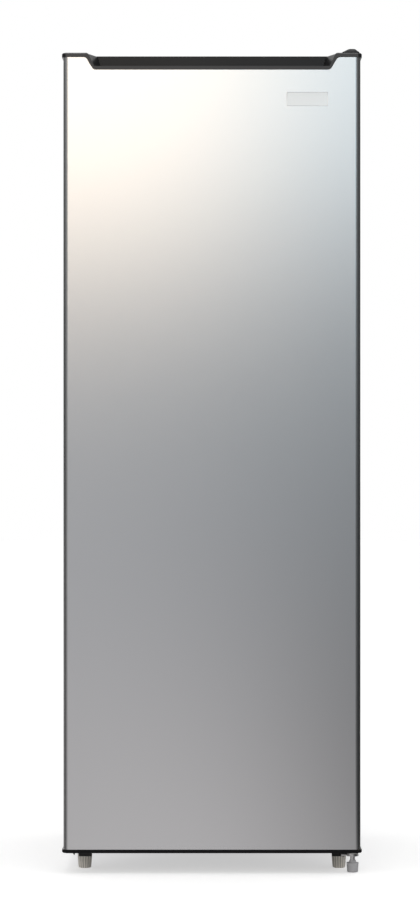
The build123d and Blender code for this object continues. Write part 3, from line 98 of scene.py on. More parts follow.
# ---------------- finishes
class Grain(Enum):
    """Direction in which a finish is drawn out, as the stretch of its pattern along X, Y and Z."""

    EVEN = (1.0, 1.0, 1.0)
    UPRIGHT = (1.0, 1.0, 0.012)
    LEVEL = (0.012, 1.0, 1.0)


class NodeBench:
    """Adds nodes to the tree of a material or of the world, with their inputs fed."""

    def __init__(self, tree: bpy.types.NodeTree) -> None:
        """Keeps the tree.

        Args:
            tree: The node tree.
        """
        self.tree = tree

    def feed(self, socket: Socket, source: Source) -> None:
        """Gives an input a plain value or another node's output.

        Args:
            socket: The input.
            source: The value or the output.
        """
        if isinstance(source, Socket):
            self.tree.links.new(source, socket)
        elif socket.type == "RGBA":
            socket.default_value = source + (1.0,)
        else:
            socket.default_value = source

    def add(self, kind: str, inputs: dict[str | int, Source] | None = None,
            **settings: str | int) -> bpy.types.Node:
        """Adds a node.

        Args:
            kind: The kind of node.
            inputs: What its inputs get, by their name or number.
            settings: Its settings.

        Returns:
            The node.
        """
        node = self.tree.nodes.new(f"ShaderNode{kind}")
        for name, value in settings.items():
            setattr(node, name, value)
        for name, source in (inputs or {}).items():
            self.feed(node.inputs[name], source)
        return node

    def sum(self, operation: str, *terms: Source) -> Socket:
        """Works one sum out.

        Args:
            operation: The sum's name.
            terms: Its terms.

        Returns:
            The socket with the answer.
        """
        return self.add("Math", dict(enumerate(terms)), operation=operation).outputs["Value"]

    def carry(self, value: Source, start: Span, end: Span = (0.0, 1.0),
              smooth: bool = False) -> Socket:
        """Carries a value over from one range to another.

        Args:
            value: The value.
            start: The range that it comes from.
            end: The range that it goes to.
            smooth: Whether it sets off and arrives softly.

        Returns:
            The socket with the new value.
        """
        ends = {"From Min": start[0], "From Max": start[1], "To Min": end[0], "To Max": end[1]}
        return self.add("MapRange", {"Value": value, **ends},
                        interpolation_type="SMOOTHSTEP" if smooth else "LINEAR").outputs["Result"]

    def blend(self, kind: str, share: Source, first: Source, second: Source) -> Socket:
        """Mixes, multiplies or adds two colours.

        Args:
            kind: MIX, MULTIPLY or ADD.
            share: How much of the second colour is used.
            first: The first colour.
            second: The second colour.

        Returns:
            The socket with the new colour.
        """
        return self.add("Mix", {0: share, 6: first, 7: second}, data_type="RGBA",
                        blend_type=kind).outputs[2]

    def ramp(self, value: Source, shades: Shades) -> Socket:
        """Draws a value as a run of shades.

        Args:
            value: The value.
            shades: A position and a grey or a colour for each stop, in order.

        Returns:
            The socket with the shade.
        """
        node = self.add("ValToRGB", {"Fac": value})
        stops = [(position, (shade if isinstance(shade, tuple) else (shade,) * 3) + (1.0,))
                 for position, shade in shades]
        elements = node.color_ramp.elements
        for element, (position, colour) in zip(elements, (stops[0], stops[-1])):
            element.position, element.color = position, colour
        for position, colour in stops[1:-1]:
            elements.new(position).color = colour
        return node.outputs["Color"]


GRAIN_SHARE = 0.4            # of a finish's pattern, the rest being the broad variation
PATTERN_SPAN = (0.3, 0.7)    # where most of that pattern lies
COAT_ROUGHNESS = 0.25
# Painted shade in the grooves of a ribbed foot: the wave's range, and how dark a groove is
# painted.
GROOVE_SPAN = (-0.9, 0.1)    # of the wave round a ribbed foot, from a groove to a rib
GROOVE_SHADE = 0.55
SHARP_SPAN = (0.995, 0.80)   # how far a rounded normal turns from the real one, as a cosine


@dataclass(frozen=True)
class Finish:
    """A surface finish, and the node material that draws it.

    Attributes:
        name: The material's name.
        slot: The record's material slot that the finish belongs to; not used.
        colour: The main colour, linear.
        shade: How far the colour wanders either way, as a fraction.
        roughness: The lowest and highest roughness.
        metallic: 1 for bare metal.
        grain: The direction of the fine pattern.
        grain_scale: Repeats of the fine pattern per metre.
        relief: Height of the fine pattern in metres.
        mottle_scale: Repeats of the broad variation per metre.
        edge_wear_and_highlight: How much the edges are made pale, from 0 to 1: rubbing on most
            finishes, a painted highlight on the dark trim.
        edge_wear_and_highlight_colour: The colour of a pale edge, which on the dark trim is a
            painted highlight.
        edge: Radius of a pale edge in metres.
        coat: Weight of a clear coat.
        shine: Strength of the plain reflection, 0.5 for most plastics.
        ribs: Number of upright ribs round a front foot, whose grooves get painted shade as a
            darker colour.
    """

    name: str
    slot: str
    colour: Colour
    shade: float = 0.05
    roughness: tuple[float, float] = (0.4, 0.5)
    metallic: float = 0.0
    grain: Grain = Grain.EVEN
    grain_scale: float = 900.0
    relief: float = 0.00002
    mottle_scale: float = 7.0
    edge_wear_and_highlight: float = 0.0
    edge_wear_and_highlight_colour: Colour = (0.6, 0.6, 0.6)
    edge: float = 0.0008
    coat: float = 0.0
    shine: float = 0.5
    ribs: int = 0

    def material(self) -> bpy.types.Material:
        """Finds the finish's material, or builds it the first time.

        Returns:
            The material.
        """
        known = bpy.data.materials.get(self.name)
        return known if known else self.build()

    def build(self) -> bpy.types.Material:
        """Builds the node material.

        Returns:
            The new material.
        """
        material = bpy.data.materials.new(self.name)
        material.use_nodes = True
        bench = NodeBench(material.node_tree)
        place = bench.add("TexCoord").outputs["Object"]
        drawn = bench.add("Mapping", {"Vector": place, "Scale": self.grain.value})
        fine = bench.add("TexNoise", {"Vector": drawn.outputs["Vector"], "Detail": 3.0,
                                      "Scale": self.grain_scale}).outputs["Fac"]
        broad = bench.add("TexNoise", {"Vector": place, "Detail": 4.0, "Roughness": 0.6,
                                       "Scale": self.mottle_scale}).outputs["Fac"]
        pattern = bench.sum("MULTIPLY_ADD", fine, GRAIN_SHARE,
                            bench.sum("MULTIPLY", broad, 1.0 - GRAIN_SHARE))
        tints = (tuple(min(1.0, channel * scale) for channel in self.colour)
                 for scale in (1 - self.shade, 1 + self.shade))
        colour = bench.ramp(pattern, tuple(zip(PATTERN_SPAN, tints)))
        # Painted shade in the grooves between a foot's ribs.
        if self.ribs:
            colour = self.paint_shade_in_grooves(bench, place, colour)
        # Pale edges: rubbing on most finishes, a painted highlight on the dark trim.
        if self.edge_wear_and_highlight:
            colour = self.rub_and_highlight_edges(bench, broad, colour)
        bump = bench.add("Bump", {"Distance": self.relief, "Height": fine})
        looks = {"Base Color": colour, "Metallic": self.metallic,
                 "Roughness": bench.carry(pattern, PATTERN_SPAN, self.roughness),
                 "Specular IOR Level": self.shine, "Coat Weight": self.coat,
                 "Coat Roughness": COAT_ROUGHNESS, "Normal": bump.outputs["Normal"]}
        shader = bench.tree.nodes["Principled BSDF"]
        for name, source in looks.items():
            bench.feed(shader.inputs[name], source)
        return material

    def paint_shade_in_grooves(self, bench: NodeBench, place: Socket, colour: Socket) -> Socket:
        """Paints shade into the grooves between a front foot's ribs, as a darker colour.

        Args:
            bench: The bench with the material's nodes.
            place: Where the point is.
            colour: The colour before.

        Returns:
            The socket with the colour and its painted shade.
        """
        across, along = SIZES.foot
        parts = bench.add("SeparateXYZ", {"Vector": place}).outputs
        turn = bench.sum("ARCTAN2", bench.sum("SUBTRACT", parts["Y"], along),
                         bench.sum("SUBTRACT", bench.sum("ABSOLUTE", parts["X"]), across))
        wave = bench.sum("COSINE", bench.sum("MULTIPLY", turn, float(self.ribs)))
        shade = bench.carry(wave, GROOVE_SPAN, (GROOVE_SHADE, 1.0))
        return bench.blend("MULTIPLY", 1.0, shade, colour)

    def rub_and_highlight_edges(self, bench: NodeBench, patches: Socket, colour: Socket) -> Socket:
        """Makes the piece's edges pale where they are sharp: rubbing on most finishes, a painted
        highlight on the dark trim.

        Args:
            bench: The bench with the material's nodes.
            patches: Broad pattern that breaks the pale edges up.
            colour: The colour before the edges are made pale.

        Returns:
            The socket with the colour and its pale edges.
        """
        soft = bench.add("Bevel", {"Radius": self.edge}, samples=4)
        real = bench.add("NewGeometry")
        turned = bench.add("VectorMath", {0: soft.outputs["Normal"], 1: real.outputs["Normal"]},
                           operation="DOT_PRODUCT")
        sharp = bench.carry(turned.outputs["Value"], SHARP_SPAN, (0.0, 2 * self.edge_wear_and_highlight))
        return bench.blend("MIX", bench.sum("MULTIPLY", sharp, patches), colour,
                           self.edge_wear_and_highlight_colour)


DOOR_STEEL = Finish("door_satin_steel", "door_steel", (0.62, 0.62, 0.61), shade=0.006,
                    roughness=(0.262, 0.270), metallic=1.0, grain=Grain.UPRIGHT, grain_scale=700,
                    relief=0.0000001, mottle_scale=3.0)
CABINET_PAINT = Finish("cabinet_grained_paint", "cabinet_enamel", (0.30, 0.30, 0.31), shade=0.06,
                       roughness=(0.38, 0.52), grain_scale=1300, relief=0.00006,
                       edge_wear_and_highlight=0.25, edge_wear_and_highlight_colour=(0.42, 0.42, 0.43))
# The dark trim's pale edges are a painted highlight along them.
DARK_TRIM = Finish("trim_charcoal_plastic", "dark_trim", (0.016, 0.016, 0.017), shade=0.12,
                   roughness=(0.26, 0.36), grain_scale=2600, relief=0.000006,
                   edge_wear_and_highlight=0.45, edge_wear_and_highlight_colour=(0.11, 0.11, 0.115), shine=0.20)
# A paler copy of the dark trim, as painted light from above on the lip and the left ear.
LIT_LIP_TRIM = Finish("lip_charcoal_painted_light", "dark_trim", (0.052, 0.051, 0.052), shade=0.10,
                  roughness=(0.30, 0.40), grain_scale=2600, relief=0.000006, shine=0.25)
COVER_BLACK = Finish("cover_black_plastic", "dark_trim", (0.008, 0.008, 0.009), shade=0.12,
                     roughness=(0.28, 0.40), grain_scale=2200, relief=0.00001,
                     edge_wear_and_highlight=0.20, edge_wear_and_highlight_colour=(0.04, 0.04, 0.04), shine=0.07)
BRACKET_BLACK = Finish("bracket_black_paint", "condenser_black", (0.008, 0.008, 0.008),
                       shade=0.15, roughness=(0.45, 0.6), grain_scale=1200, relief=0.00002,
                       edge_wear_and_highlight=0.3, edge_wear_and_highlight_colour=(0.05, 0.05, 0.05))
LINER = Finish("liner_white_plastic", "liner_white", (0.84, 0.85, 0.85), shade=0.012,
               roughness=(0.34, 0.38), grain_scale=900, relief=0.000004, mottle_scale=5.0,
               shine=0.35)
FOAM = Finish("poured_foam", "insulation", (0.80, 0.66, 0.36), shade=0.12, roughness=(0.8, 0.95),
              grain_scale=700, relief=0.0003, mottle_scale=22)
GALVANISED = Finish("galvanised_sheet", "galvanised", (0.56, 0.57, 0.58), shade=0.10,
                    roughness=(0.38, 0.58), metallic=1.0, grain_scale=260, relief=0.00001,
                    mottle_scale=40, edge_wear_and_highlight=0.2, edge_wear_and_highlight_colour=(0.75, 0.75, 0.75))
ZINC = Finish("bright_zinc", "zinc_steel", (0.68, 0.68, 0.66), shade=0.07, roughness=(0.26, 0.42),
              metallic=1.0, grain_scale=900, relief=0.00001, mottle_scale=60,
              edge_wear_and_highlight=0.25, edge_wear_and_highlight_colour=(0.85, 0.85, 0.84))
BUSH = Finish("acetal_natural", "bush_plastic", (0.80, 0.80, 0.77), shade=0.03,
              roughness=(0.4, 0.5), grain_scale=900, relief=0.00002)
GASKET = Finish("gasket_grey_vinyl", "gasket_rubber", (0.50, 0.50, 0.49), shade=0.05,
                roughness=(0.55, 0.7), grain_scale=1100, relief=0.00003)
RACK = Finish("rack_moulded_plastic", "rack_plastic", (0.80, 0.83, 0.86), shade=0.03,
              roughness=(0.18, 0.28), grain_scale=400, relief=0.00001, coat=0.3,
              edge_wear_and_highlight=0.1, edge_wear_and_highlight_colour=(0.93, 0.94, 0.95))
# The ivory feet get painted shade in the grooves between their ribs.
FOOT_IVORY = Finish("foot_ivory_plastic", "foot_ivory", (0.88, 0.84, 0.76), shade=0.06,
                    roughness=(0.40, 0.55), grain_scale=1500, relief=0.00003, mottle_scale=60,
                    ribs=16)
FOOT_GREY = Finish("foot_grey_plastic", "foot_grey", (0.44, 0.44, 0.455), shade=0.06,
                   roughness=(0.5, 0.65), grain_scale=1800, relief=0.00003, mottle_scale=60,
                   edge_wear_and_highlight=0.3, edge_wear_and_highlight_colour=(0.5, 0.5, 0.5))
ROLLER = Finish("roller_black_nylon", "roller_black", (0.028, 0.028, 0.028), shade=0.15,
                roughness=(0.45, 0.6), grain_scale=1500, relief=0.00003,
                edge_wear_and_highlight=0.4, edge_wear_and_highlight_colour=(0.12, 0.12, 0.12))
POT_BLACK = Finish("compressor_gloss_black", "compressor_black", (0.018, 0.018, 0.018),
                   shade=0.15, roughness=(0.16, 0.30), grain_scale=350, relief=0.00006,
                   coat=0.4, edge_wear_and_highlight=0.3, edge_wear_and_highlight_colour=(0.10, 0.09, 0.085))
IRON = Finish("motor_cast_iron", "motor_iron", (0.20, 0.19, 0.18), shade=0.2,
              roughness=(0.6, 0.8), metallic=0.7, grain_scale=500, relief=0.0003)
GROMMET = Finish("grommet_black_rubber", "grommet_rubber", (0.022, 0.022, 0.022), shade=0.12,
                 roughness=(0.65, 0.8), grain_scale=1200, relief=0.00004)
COIL_BLACK = Finish("condenser_black_paint", "condenser_black", (0.022, 0.022, 0.022),
                    shade=0.2, roughness=(0.35, 0.5), grain_scale=700, relief=0.00004,
                    mottle_scale=30)
COPPER = Finish("drawn_copper", "copper", (0.72, 0.36, 0.22), shade=0.12, roughness=(0.22, 0.42),
                metallic=1.0, grain_scale=400, relief=0.00001, mottle_scale=35)
SHELF_WHITE = Finish("shelf_white_epoxy", "shelf_white", (0.82, 0.82, 0.80), shade=0.04,
                     roughness=(0.28, 0.4), grain_scale=600, relief=0.00005, mottle_scale=25)
CONTROL = Finish("control_black_plastic", "control_plastic", (0.055, 0.055, 0.057), shade=0.1,
                 roughness=(0.45, 0.55), grain_scale=1500, relief=0.00003,
                 edge_wear_and_highlight=0.3, edge_wear_and_highlight_colour=(0.16, 0.16, 0.16))
KNOB = Finish("knob_pale_plastic", "knob_plastic", (0.72, 0.72, 0.69), shade=0.04,
              roughness=(0.3, 0.42), grain_scale=900, relief=0.00002,
              edge_wear_and_highlight=0.2, edge_wear_and_highlight_colour=(0.55, 0.55, 0.52))
PLATE = Finish("bare_plate_satin", "door_steel", (0.64, 0.64, 0.63), shade=0.008,
               roughness=(0.29, 0.33), metallic=1.0, grain=Grain.LEVEL, grain_scale=700,
               relief=0.0000004)


# ---------------- making pieces
SHARP_DEGREES = 30.0         # an edge that turns more is rounded
SMOOTH_DEGREES = 38.0        # an edge that turns less is shaded smooth
TUBE_SMOOTH_DEGREES = 50.0
FLAT_DEGREES = 1.0           # triangles that turn less are one flat face
FLAT_WEIGHT = 100            # how strongly a large face keeps its own shading
MERGE = 0.00002              # points of a CAD node that are nearer are one point
TUBE_MERGE = 0.000005
NEAR = 0.0005                # how near a point has to be to a corner to be its own
HAIR = 0.0001                # room for rounding in a place
FORWARD = -0.3               # a face whose normal has a lower Y looks to the front
SIDEWAYS = 0.9               # a face whose normal has a smaller Y either way looks sideways


class Kind(Enum):
    """What is picked on a mesh."""

    POINTS = "VERT"
    EDGES = "EDGE"
    FACES = "FACE"


@dataclass(frozen=True)
class Dressing:
    """How a CAD node is dressed.

    Attributes:
        node: The CAD node.
        finish: Its finish.
        edge: Width of its rounded edges in metres, or 0 where it keeps its own mesh.
        steps: Segments of the rounding.
    """

    node: str
    finish: Finish
    edge: float = 0.0
    steps: int = 2


def select_only(piece: Piece) -> None:
    """Selects one piece and makes it active.

    Args:
        piece: The piece to select.
    """
    for other in bpy.context.selected_objects:
        other.select_set(False)
    piece.select_set(True)
    bpy.context.view_layer.objects.active = piece


@contextmanager
def editing(piece: Piece) -> Iterator[None]:
    """Holds a piece in edit mode.

    Args:
        piece: The piece.

    Yields:
        Nothing, while the piece is in edit mode.
    """
    select_only(piece)
    bpy.ops.object.mode_set(mode="EDIT")
    yield
    bpy.ops.object.mode_set(mode="OBJECT")


def settle(piece: Piece) -> Piece:
    """Puts a piece's place into its mesh, with its object at the origin.

    Args:
        piece: The piece.

    Returns:
        The same piece.
    """
    select_only(piece)
    bpy.ops.object.transform_apply(location=True, rotation=True, scale=True)
    return piece


def round_off(piece: Piece, width: float, steps: int = 2) -> Piece:
    """Rounds a piece's sharp edges with an applied bevel and shades its flats as flat.

    Args:
        piece: The piece.
        width: Width of the bevel in metres.
        steps: Segments of the bevel.

    Returns:
        The same piece.
    """
    select_only(piece)
    bevel = piece.modifiers.new("edges", "BEVEL")
    bevel.width = width
    bevel.segments = steps
    bevel.limit_method = "ANGLE"
    bevel.angle_limit = math.radians(SHARP_DEGREES)
    bevel.use_clamp_overlap = True
    bpy.ops.object.modifier_apply(modifier=bevel.name)
    bpy.ops.object.shade_smooth_by_angle(angle=math.radians(SMOOTH_DEGREES))
    flats = piece.modifiers.new("flats", "WEIGHTED_NORMAL")
    flats.mode = "FACE_AREA"
    flats.weight = FLAT_WEIGHT
    flats.keep_sharp = True
    bpy.ops.object.modifier_apply(modifier=flats.name)
    return piece


def finish_piece(piece: Piece, name: str, body: str, finish: Finish,
                 nodes: tuple[str, ...] = ()) -> None:
    """Names a finished piece, dresses it and hangs it on its body.

    Args:
        piece: The piece.
        name: Its name.
        body: The body that carries it.
        finish: Its finish.
        nodes: The CAD nodes that it stands for.
    """
    piece.name = name
    piece.data.materials.clear()
    piece.data.materials.append(finish.material())
    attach(piece, body)
    if nodes:
        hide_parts(*nodes)
    log.info("piece %s on %s", name, body)


class Workshop:
    """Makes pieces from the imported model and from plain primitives."""

    def __init__(self, frame: dict) -> None:
        """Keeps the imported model.
        """
        self.nodes: dict[str, Piece] = frame["nodes"]
        self.body_of: dict[str, str] = {
            node: body for body, members in frame["record"]["behaviour"]["bodies"].items()
            for node in members}

    def paint(self, node: str, finish: Finish) -> None:
        """Gives a CAD node that stays as it is its finish.

        Args:
            node: The CAD node.
            finish: Its finish.
        """
        mesh = self.nodes[node].data
        if mesh.materials:
            for place in range(len(mesh.materials)):
                mesh.materials[place] = finish.material()
        else:
            mesh.materials.append(finish.material())
        log.info("node %s painted", node)

    def merged_copy(self, node: str) -> Piece:
        """Copies a CAD node as one clean mesh of flat faces.

        Args:
            node: The CAD node.

        Returns:
            The copy, at the same place.
        """
        source = self.nodes[node]
        piece = source.copy()
        piece.data = source.data.copy()
        piece.parent = None
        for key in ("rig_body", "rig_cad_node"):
            if key in piece:
                del piece[key]
        bpy.context.scene.collection.objects.link(piece)
        with editing(piece):
            bpy.ops.mesh.select_all(action="SELECT")
            bpy.ops.mesh.remove_doubles(threshold=MERGE)
            bpy.ops.mesh.dissolve_limited(angle_limit=math.radians(FLAT_DEGREES))
        if piece.data.has_custom_normals:
            bpy.ops.mesh.customdata_custom_splitnormals_clear()
        return piece

    def dress(self, dressing: Dressing) -> None:
        """Dresses a CAD node: paints it, or replaces it by a copy with rounded edges.

        Args:
            dressing: How it is dressed.
        """
        node, finish = dressing.node, dressing.finish
        if dressing.edge:
            piece = round_off(self.merged_copy(node), dressing.edge, dressing.steps)
            finish_piece(piece, f"{node}_dressed", self.body_of[node], finish, (node,))
        else:
            self.paint(node, finish)


@dataclass(frozen=True)
class Assembly:
    """A sub-assembly, most of whose pieces are dressed CAD nodes.

    Attributes:
        dressings: How those are dressed.
    """

    dressings: tuple[Dressing, ...] = ()

    def make(self, shop: Workshop) -> None:
        """Makes and dresses the sub-assembly's pieces.

        Args:
            shop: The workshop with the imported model.
        """
        for dressing in self.dressings:
            shop.dress(dressing)


def within(place: Point, low: Point, high: Point) -> bool:
    """Tells whether a place is inside the box between two corners."""
    return all(least < part < most for least, part, most in zip(low, place, high))


def pick(piece: Piece, kind: Kind,
         wanted: Callable[[bmesh.types.BMVert | bmesh.types.BMEdge | bmesh.types.BMFace],
                          bool]) -> int:
    """Selects the points, edges or faces of a piece in edit mode that pass a test.

    Args:
        piece: The piece, in edit mode.
        kind: What is selected.
        wanted: Takes a point, an edge or a face and says whether it is wanted.

    Returns:
        How many were selected.
    """
    bpy.ops.mesh.select_mode(type=kind.value)
    bpy.ops.mesh.select_all(action="DESELECT")
    mesh = bmesh.from_edit_mesh(piece.data)
    members = {Kind.POINTS: mesh.verts, Kind.EDGES: mesh.edges, Kind.FACES: mesh.faces}[kind]
    found = [member for member in members if wanted(member)]
    for member in found:
        member.select_set(True)
    mesh.select_flush_mode()
    bmesh.update_edit_mesh(piece.data)
    return len(found)


@dataclass(frozen=True)
class Nudge:
    """A move of a few points outwards, on both sides alike.

    Attributes:
        low: The lowest corner of the box round them, on the right.
        high: The highest corner of that box.
        shift: How far outwards they go.
    """

    low: Point
    high: Point
    shift: float

    def apply(self, piece: Piece) -> None:
        """Moves the points.

        Args:
            piece: The piece, in edit mode.
        """
        for side in (-1.0, 1.0):
            if pick(piece, Kind.POINTS, lambda point: within(
                    (side * point.co.x, point.co.y, point.co.z), self.low, self.high)):
                bpy.ops.transform.translate(value=(side * self.shift, 0.0, 0.0))


def block(name: str, low: Point, high: Point) -> Piece:
    """Adds a box between two corners, ready to be shaped.

    Args:
        name: Name of the new object.
        low: Its lowest corner.
        high: Its highest corner.

    Returns:
        The box.
    """
    bpy.ops.object.select_all(action="DESELECT")
    middle = [(a + b) / 2 for a, b in zip(low, high)]
    bpy.ops.mesh.primitive_cube_add(size=1.0, location=middle)
    piece = bpy.context.active_object
    piece.name = name
    piece.scale = [b - a for a, b in zip(low, high)]
    return settle(piece)


@dataclass(frozen=True)
class Pipe:
    """A round tube along straight runs joined by bends.

    Attributes:
        name: Name of the piece.
        route: The corners of the route.
        bend: Radius of every bend.
        diameter: Outer diameter of the tube.
        sides: How finely the section is drawn.
        steps: Segments of each bend.
    """

    name: str
    route: tuple[Point, ...]
    bend: float
    diameter: float
    sides: int = 3
    steps: int = 8

    def stations(self) -> list[tuple[Vector, Vector, Vector]]:
        """Works out the curve's points with their handles.

        Returns:
            A left handle, a point and a right handle for each station.
        """
        corners = [Vector(corner) for corner in self.route]
        found = [(corners[0], corners[0], corners[0])]
        for before, corner, after in zip(corners, corners[1:], corners[2:]):
            back, ahead = (before - corner).normalized(), (after - corner).normalized()
            turn = math.pi - back.angle(ahead)
            reach = self.bend * math.tan(turn / 2)
            handle = 4 / 3 * math.tan(turn / 4) * self.bend
            enter, leave = corner + back * reach, corner + ahead * reach
            found.append((enter + back * handle, enter, enter - back * handle))
            found.append((leave - ahead * handle, leave, leave + ahead * handle))
        found.append((corners[-1], corners[-1], corners[-1]))
        return found

    def make(self) -> Piece:
        """Makes the tube as a mesh.

        Returns:
            The tube.
        """
        bpy.ops.object.select_all(action="DESELECT")
        bpy.ops.curve.primitive_bezier_curve_add()
        line = bpy.context.active_object
        curve = line.data
        stations = self.stations()
        spline = curve.splines[0]
        spline.bezier_points.add(len(stations) - len(spline.bezier_points))
        for point, (left, middle, right) in zip(spline.bezier_points, stations):
            point.handle_left_type = point.handle_right_type = "FREE"
            point.co, point.handle_left, point.handle_right = middle, left, right
        spline.resolution_u = self.steps
        curve.bevel_depth = self.diameter / 2
        curve.bevel_resolution = self.sides
        curve.use_fill_caps = True
        line.name = self.name
        line.location = (0, 0, 0)
        select_only(line)
        bpy.ops.object.convert(target="MESH")
        tube = bpy.context.active_object
        with editing(tube):
            bpy.ops.mesh.select_all(action="SELECT")
            bpy.ops.mesh.remove_doubles(threshold=TUBE_MERGE)
            bpy.ops.mesh.normals_make_consistent(inside=False)
        tube.data.materials.clear()
        bpy.ops.object.shade_smooth_by_angle(angle=math.radians(TUBE_SMOOTH_DEGREES))
        return settle(tube)


def serpentine(passes: int, start: Point, step: Point, half_run: float,
               first: float, last: float) -> tuple[Point, ...]:
    """Lays out a tube's route that runs to and fro along X.

    Args:
        passes: Number of runs.
        start: The middle of the first run.
        step: From one run to the next.
        half_run: Half of a run, to where its bend begins.
        first: X of the route's start.
        last: X of its end.

    Returns:
        The corners, with each half turn as two square ones.
    """
    reach = math.dist((0, 0, 0), step) / 2
    side = math.copysign(1.0, first)
    route: list[Point] = []
    for number in range(passes):
        y, z = (start[axis] + step[axis] * number for axis in (1, 2))
        route.append((first if number == 0 else side * (half_run + reach), y, z))
        route.append((last if number == passes - 1 else -side * (half_run + reach), y, z))
        side = -side
    return tuple(route)


def join(pieces: list[Piece]) -> Piece:
    """Joins pieces into the first of them.

    Args:
        pieces: The pieces.

    Returns:
        The joined piece.
    """
    select_only(pieces[0])
    for piece in pieces[1:]:
        piece.select_set(True)
    bpy.ops.object.join()
    return pieces[0]


# ---------------- door
@dataclass(frozen=True)
class Door(Assembly):
    """The door with its steel skin, end caps, lining, gasket and racks."""

    dressings: tuple[Dressing, ...] = (
        Dressing("door_bottom_cap", COVER_BLACK, edge=0.0008),
        Dressing("door_liner", LINER, edge=0.003, steps=3),
        Dressing("door_foam", FOAM),
        Dressing("door_gasket", GASKET, edge=0.0012, steps=3),
        Dressing("top_hinge_bush", BUSH, edge=0.0003, steps=1),
        Dressing("bottom_hinge_bush", BUSH, edge=0.0003, steps=1),
        *(Dressing(f"door_rack_{number}", RACK, edge=0.0010, steps=3) for number in range(1, 5)),
    )
    cutout_half: float = 0.231
    panel_top_z: float = 1.4966
    panel_edge: float = 0.0003
    # Width and depth of the rounding down the panel's sides.
    panel_bend: Span = (0.010, 0.006)
    ear_curve: float = 0.0048
    ear_steps: int = 5
    # Moves that slant the lower end of the ears, and the end walls of the scoop.
    ear_foot: Nudge = Nudge((0.2090, -0.2885, 1.4730), (0.2165, -0.2854, 1.4775), 0.0031)
    scoop_moves: tuple[Nudge, ...] = (
        Nudge((0.2090, -0.2880, 1.4796), (0.2100, -0.2790, 1.4806), 0.0063),
        Nudge((0.1905, -0.2800, 1.4556), (0.1918, -0.2790, 1.4566), 0.0132),
        Nudge((0.1815, -0.2410, 1.4556), (0.1828, -0.2400, 1.4566), 0.0146),
        Nudge((0.2168, -0.2410, 1.5018), (0.2226, -0.2400, 1.5050), -0.0071),
    )
    # The box round the scoop's right end wall.
    end_wall_low: Point = (0.190, -0.2835, 1.4581)
    end_wall_high: Point = (0.229, -0.2415, 1.6000)
    # The lip's upper front edge, its rounding, and how far back its band of painted light reaches.
    lip_top_z: float = 1.4801
    lip_curve: float = 0.0028
    lip_steps: int = 4
    lit_band_y: float = -0.2854
    cap_edge: float = 0.0008
    plate_low: Point = (0.1371, -0.2874, 1.4069)
    plate_high: Point = (0.2124, -0.2864, 1.4320)
    plate_rim: float = 0.0012
    plate_recess: float = 0.00025
    plate_edge: float = 0.0002

    def make(self, shop: Workshop) -> None:
        """Makes and dresses the door's pieces.

        Args:
            shop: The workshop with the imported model.
        """
        self.steel_panel(shop)
        self.top_cap(shop)
        super().make(shop)
        self.bare_plate()

    def at_ear(self, place: Vector) -> bool:
        """Tells whether a place is an upper corner of the cutout."""
        return (abs(abs(place.x) - self.cutout_half) < NEAR
                and abs(place.z - self.panel_top_z) < NEAR)

    def flow_ears(self, piece: Piece) -> None:
        """Curves the corners of the cutout, on the panel or on the cap that fills it.

        Args:
            piece: The piece, in edit mode.
        """
        count = pick(piece, Kind.EDGES, lambda edge: all(
            self.at_ear(end.co) for end in edge.verts)
            and abs(edge.verts[0].co.y - edge.verts[1].co.y) > 2 * HAIR)
        log.info("%s: %d corners curved", piece.name, count)
        bpy.ops.mesh.bevel(offset=self.ear_curve, segments=self.ear_steps, affect="EDGES")
        self.ear_foot.apply(piece)

    def steel_panel(self, shop: Workshop) -> None:
        """Dresses the steel panel: soft upright edges, and ears that flow into the cutout.

        Args:
            shop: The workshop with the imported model.
        """
        panel = shop.merged_copy("door_panel")
        half, (width, depth) = SIZES.cabinet_half, self.panel_bend
        with editing(panel):
            self.flow_ears(panel)
            for side in (-1.0, 1.0):
                pick(panel, Kind.POINTS, lambda point: side * point.co.x > half - depth - HAIR
                     and point.co.y < SIZES.panel_front_y + depth + HAIR)
                bpy.ops.transform.resize(value=(width / depth, 1.0, 1.0),
                                         center_override=(side * half, 0.0, 0.0))
            bpy.ops.mesh.select_mode(type="FACE")
        round_off(panel, self.panel_edge, 1)
        finish_piece(panel, "door_panel_dressed", "door", DOOR_STEEL, ("door_panel",))

    def top_cap(self, shop: Workshop) -> None:
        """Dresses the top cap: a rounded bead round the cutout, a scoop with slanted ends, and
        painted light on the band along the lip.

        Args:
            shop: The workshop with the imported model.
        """
        cap = shop.merged_copy("door_top_cap")
        with editing(cap):
            self.flow_ears(cap)
            for move in self.scoop_moves:
                move.apply(cap)
            pick(cap, Kind.FACES, self.on_end_wall)
            bpy.ops.mesh.quads_convert_to_tris()
            pick(cap, Kind.EDGES, lambda edge: all(
                end.co.y < SIZES.door_front_y + HAIR and abs(end.co.z - self.lip_top_z) < NEAR
                for end in edge.verts))
            bpy.ops.mesh.bevel(offset=self.lip_curve, segments=self.lip_steps, affect="EDGES")
            bpy.ops.mesh.select_mode(type="FACE")
        round_off(cap, self.cap_edge)
        finish_piece(cap, "door_top_cap_dressed", "door", DARK_TRIM, ("door_top_cap",))
        # The forward band of the lip and the left ear gets the paler copy: painted light.
        cap.data.materials.append(LIT_LIP_TRIM.material())
        cap.active_material_index = 1
        with editing(cap):
            pick(cap, Kind.FACES, self.on_lit_band)
            bpy.ops.object.material_slot_assign()

    def on_end_wall(self, face: bmesh.types.BMFace) -> bool:
        """Tells whether a face of the top cap is part of an end wall of the scoop.

        Args:
            face: The face.

        Returns:
            Whether it is.
        """
        x, y, z = face.calc_center_median()
        return (within((abs(x), y, z), self.end_wall_low, self.end_wall_high)
                and face.normal.x * x < 0 and abs(face.normal.y) < SIDEWAYS)

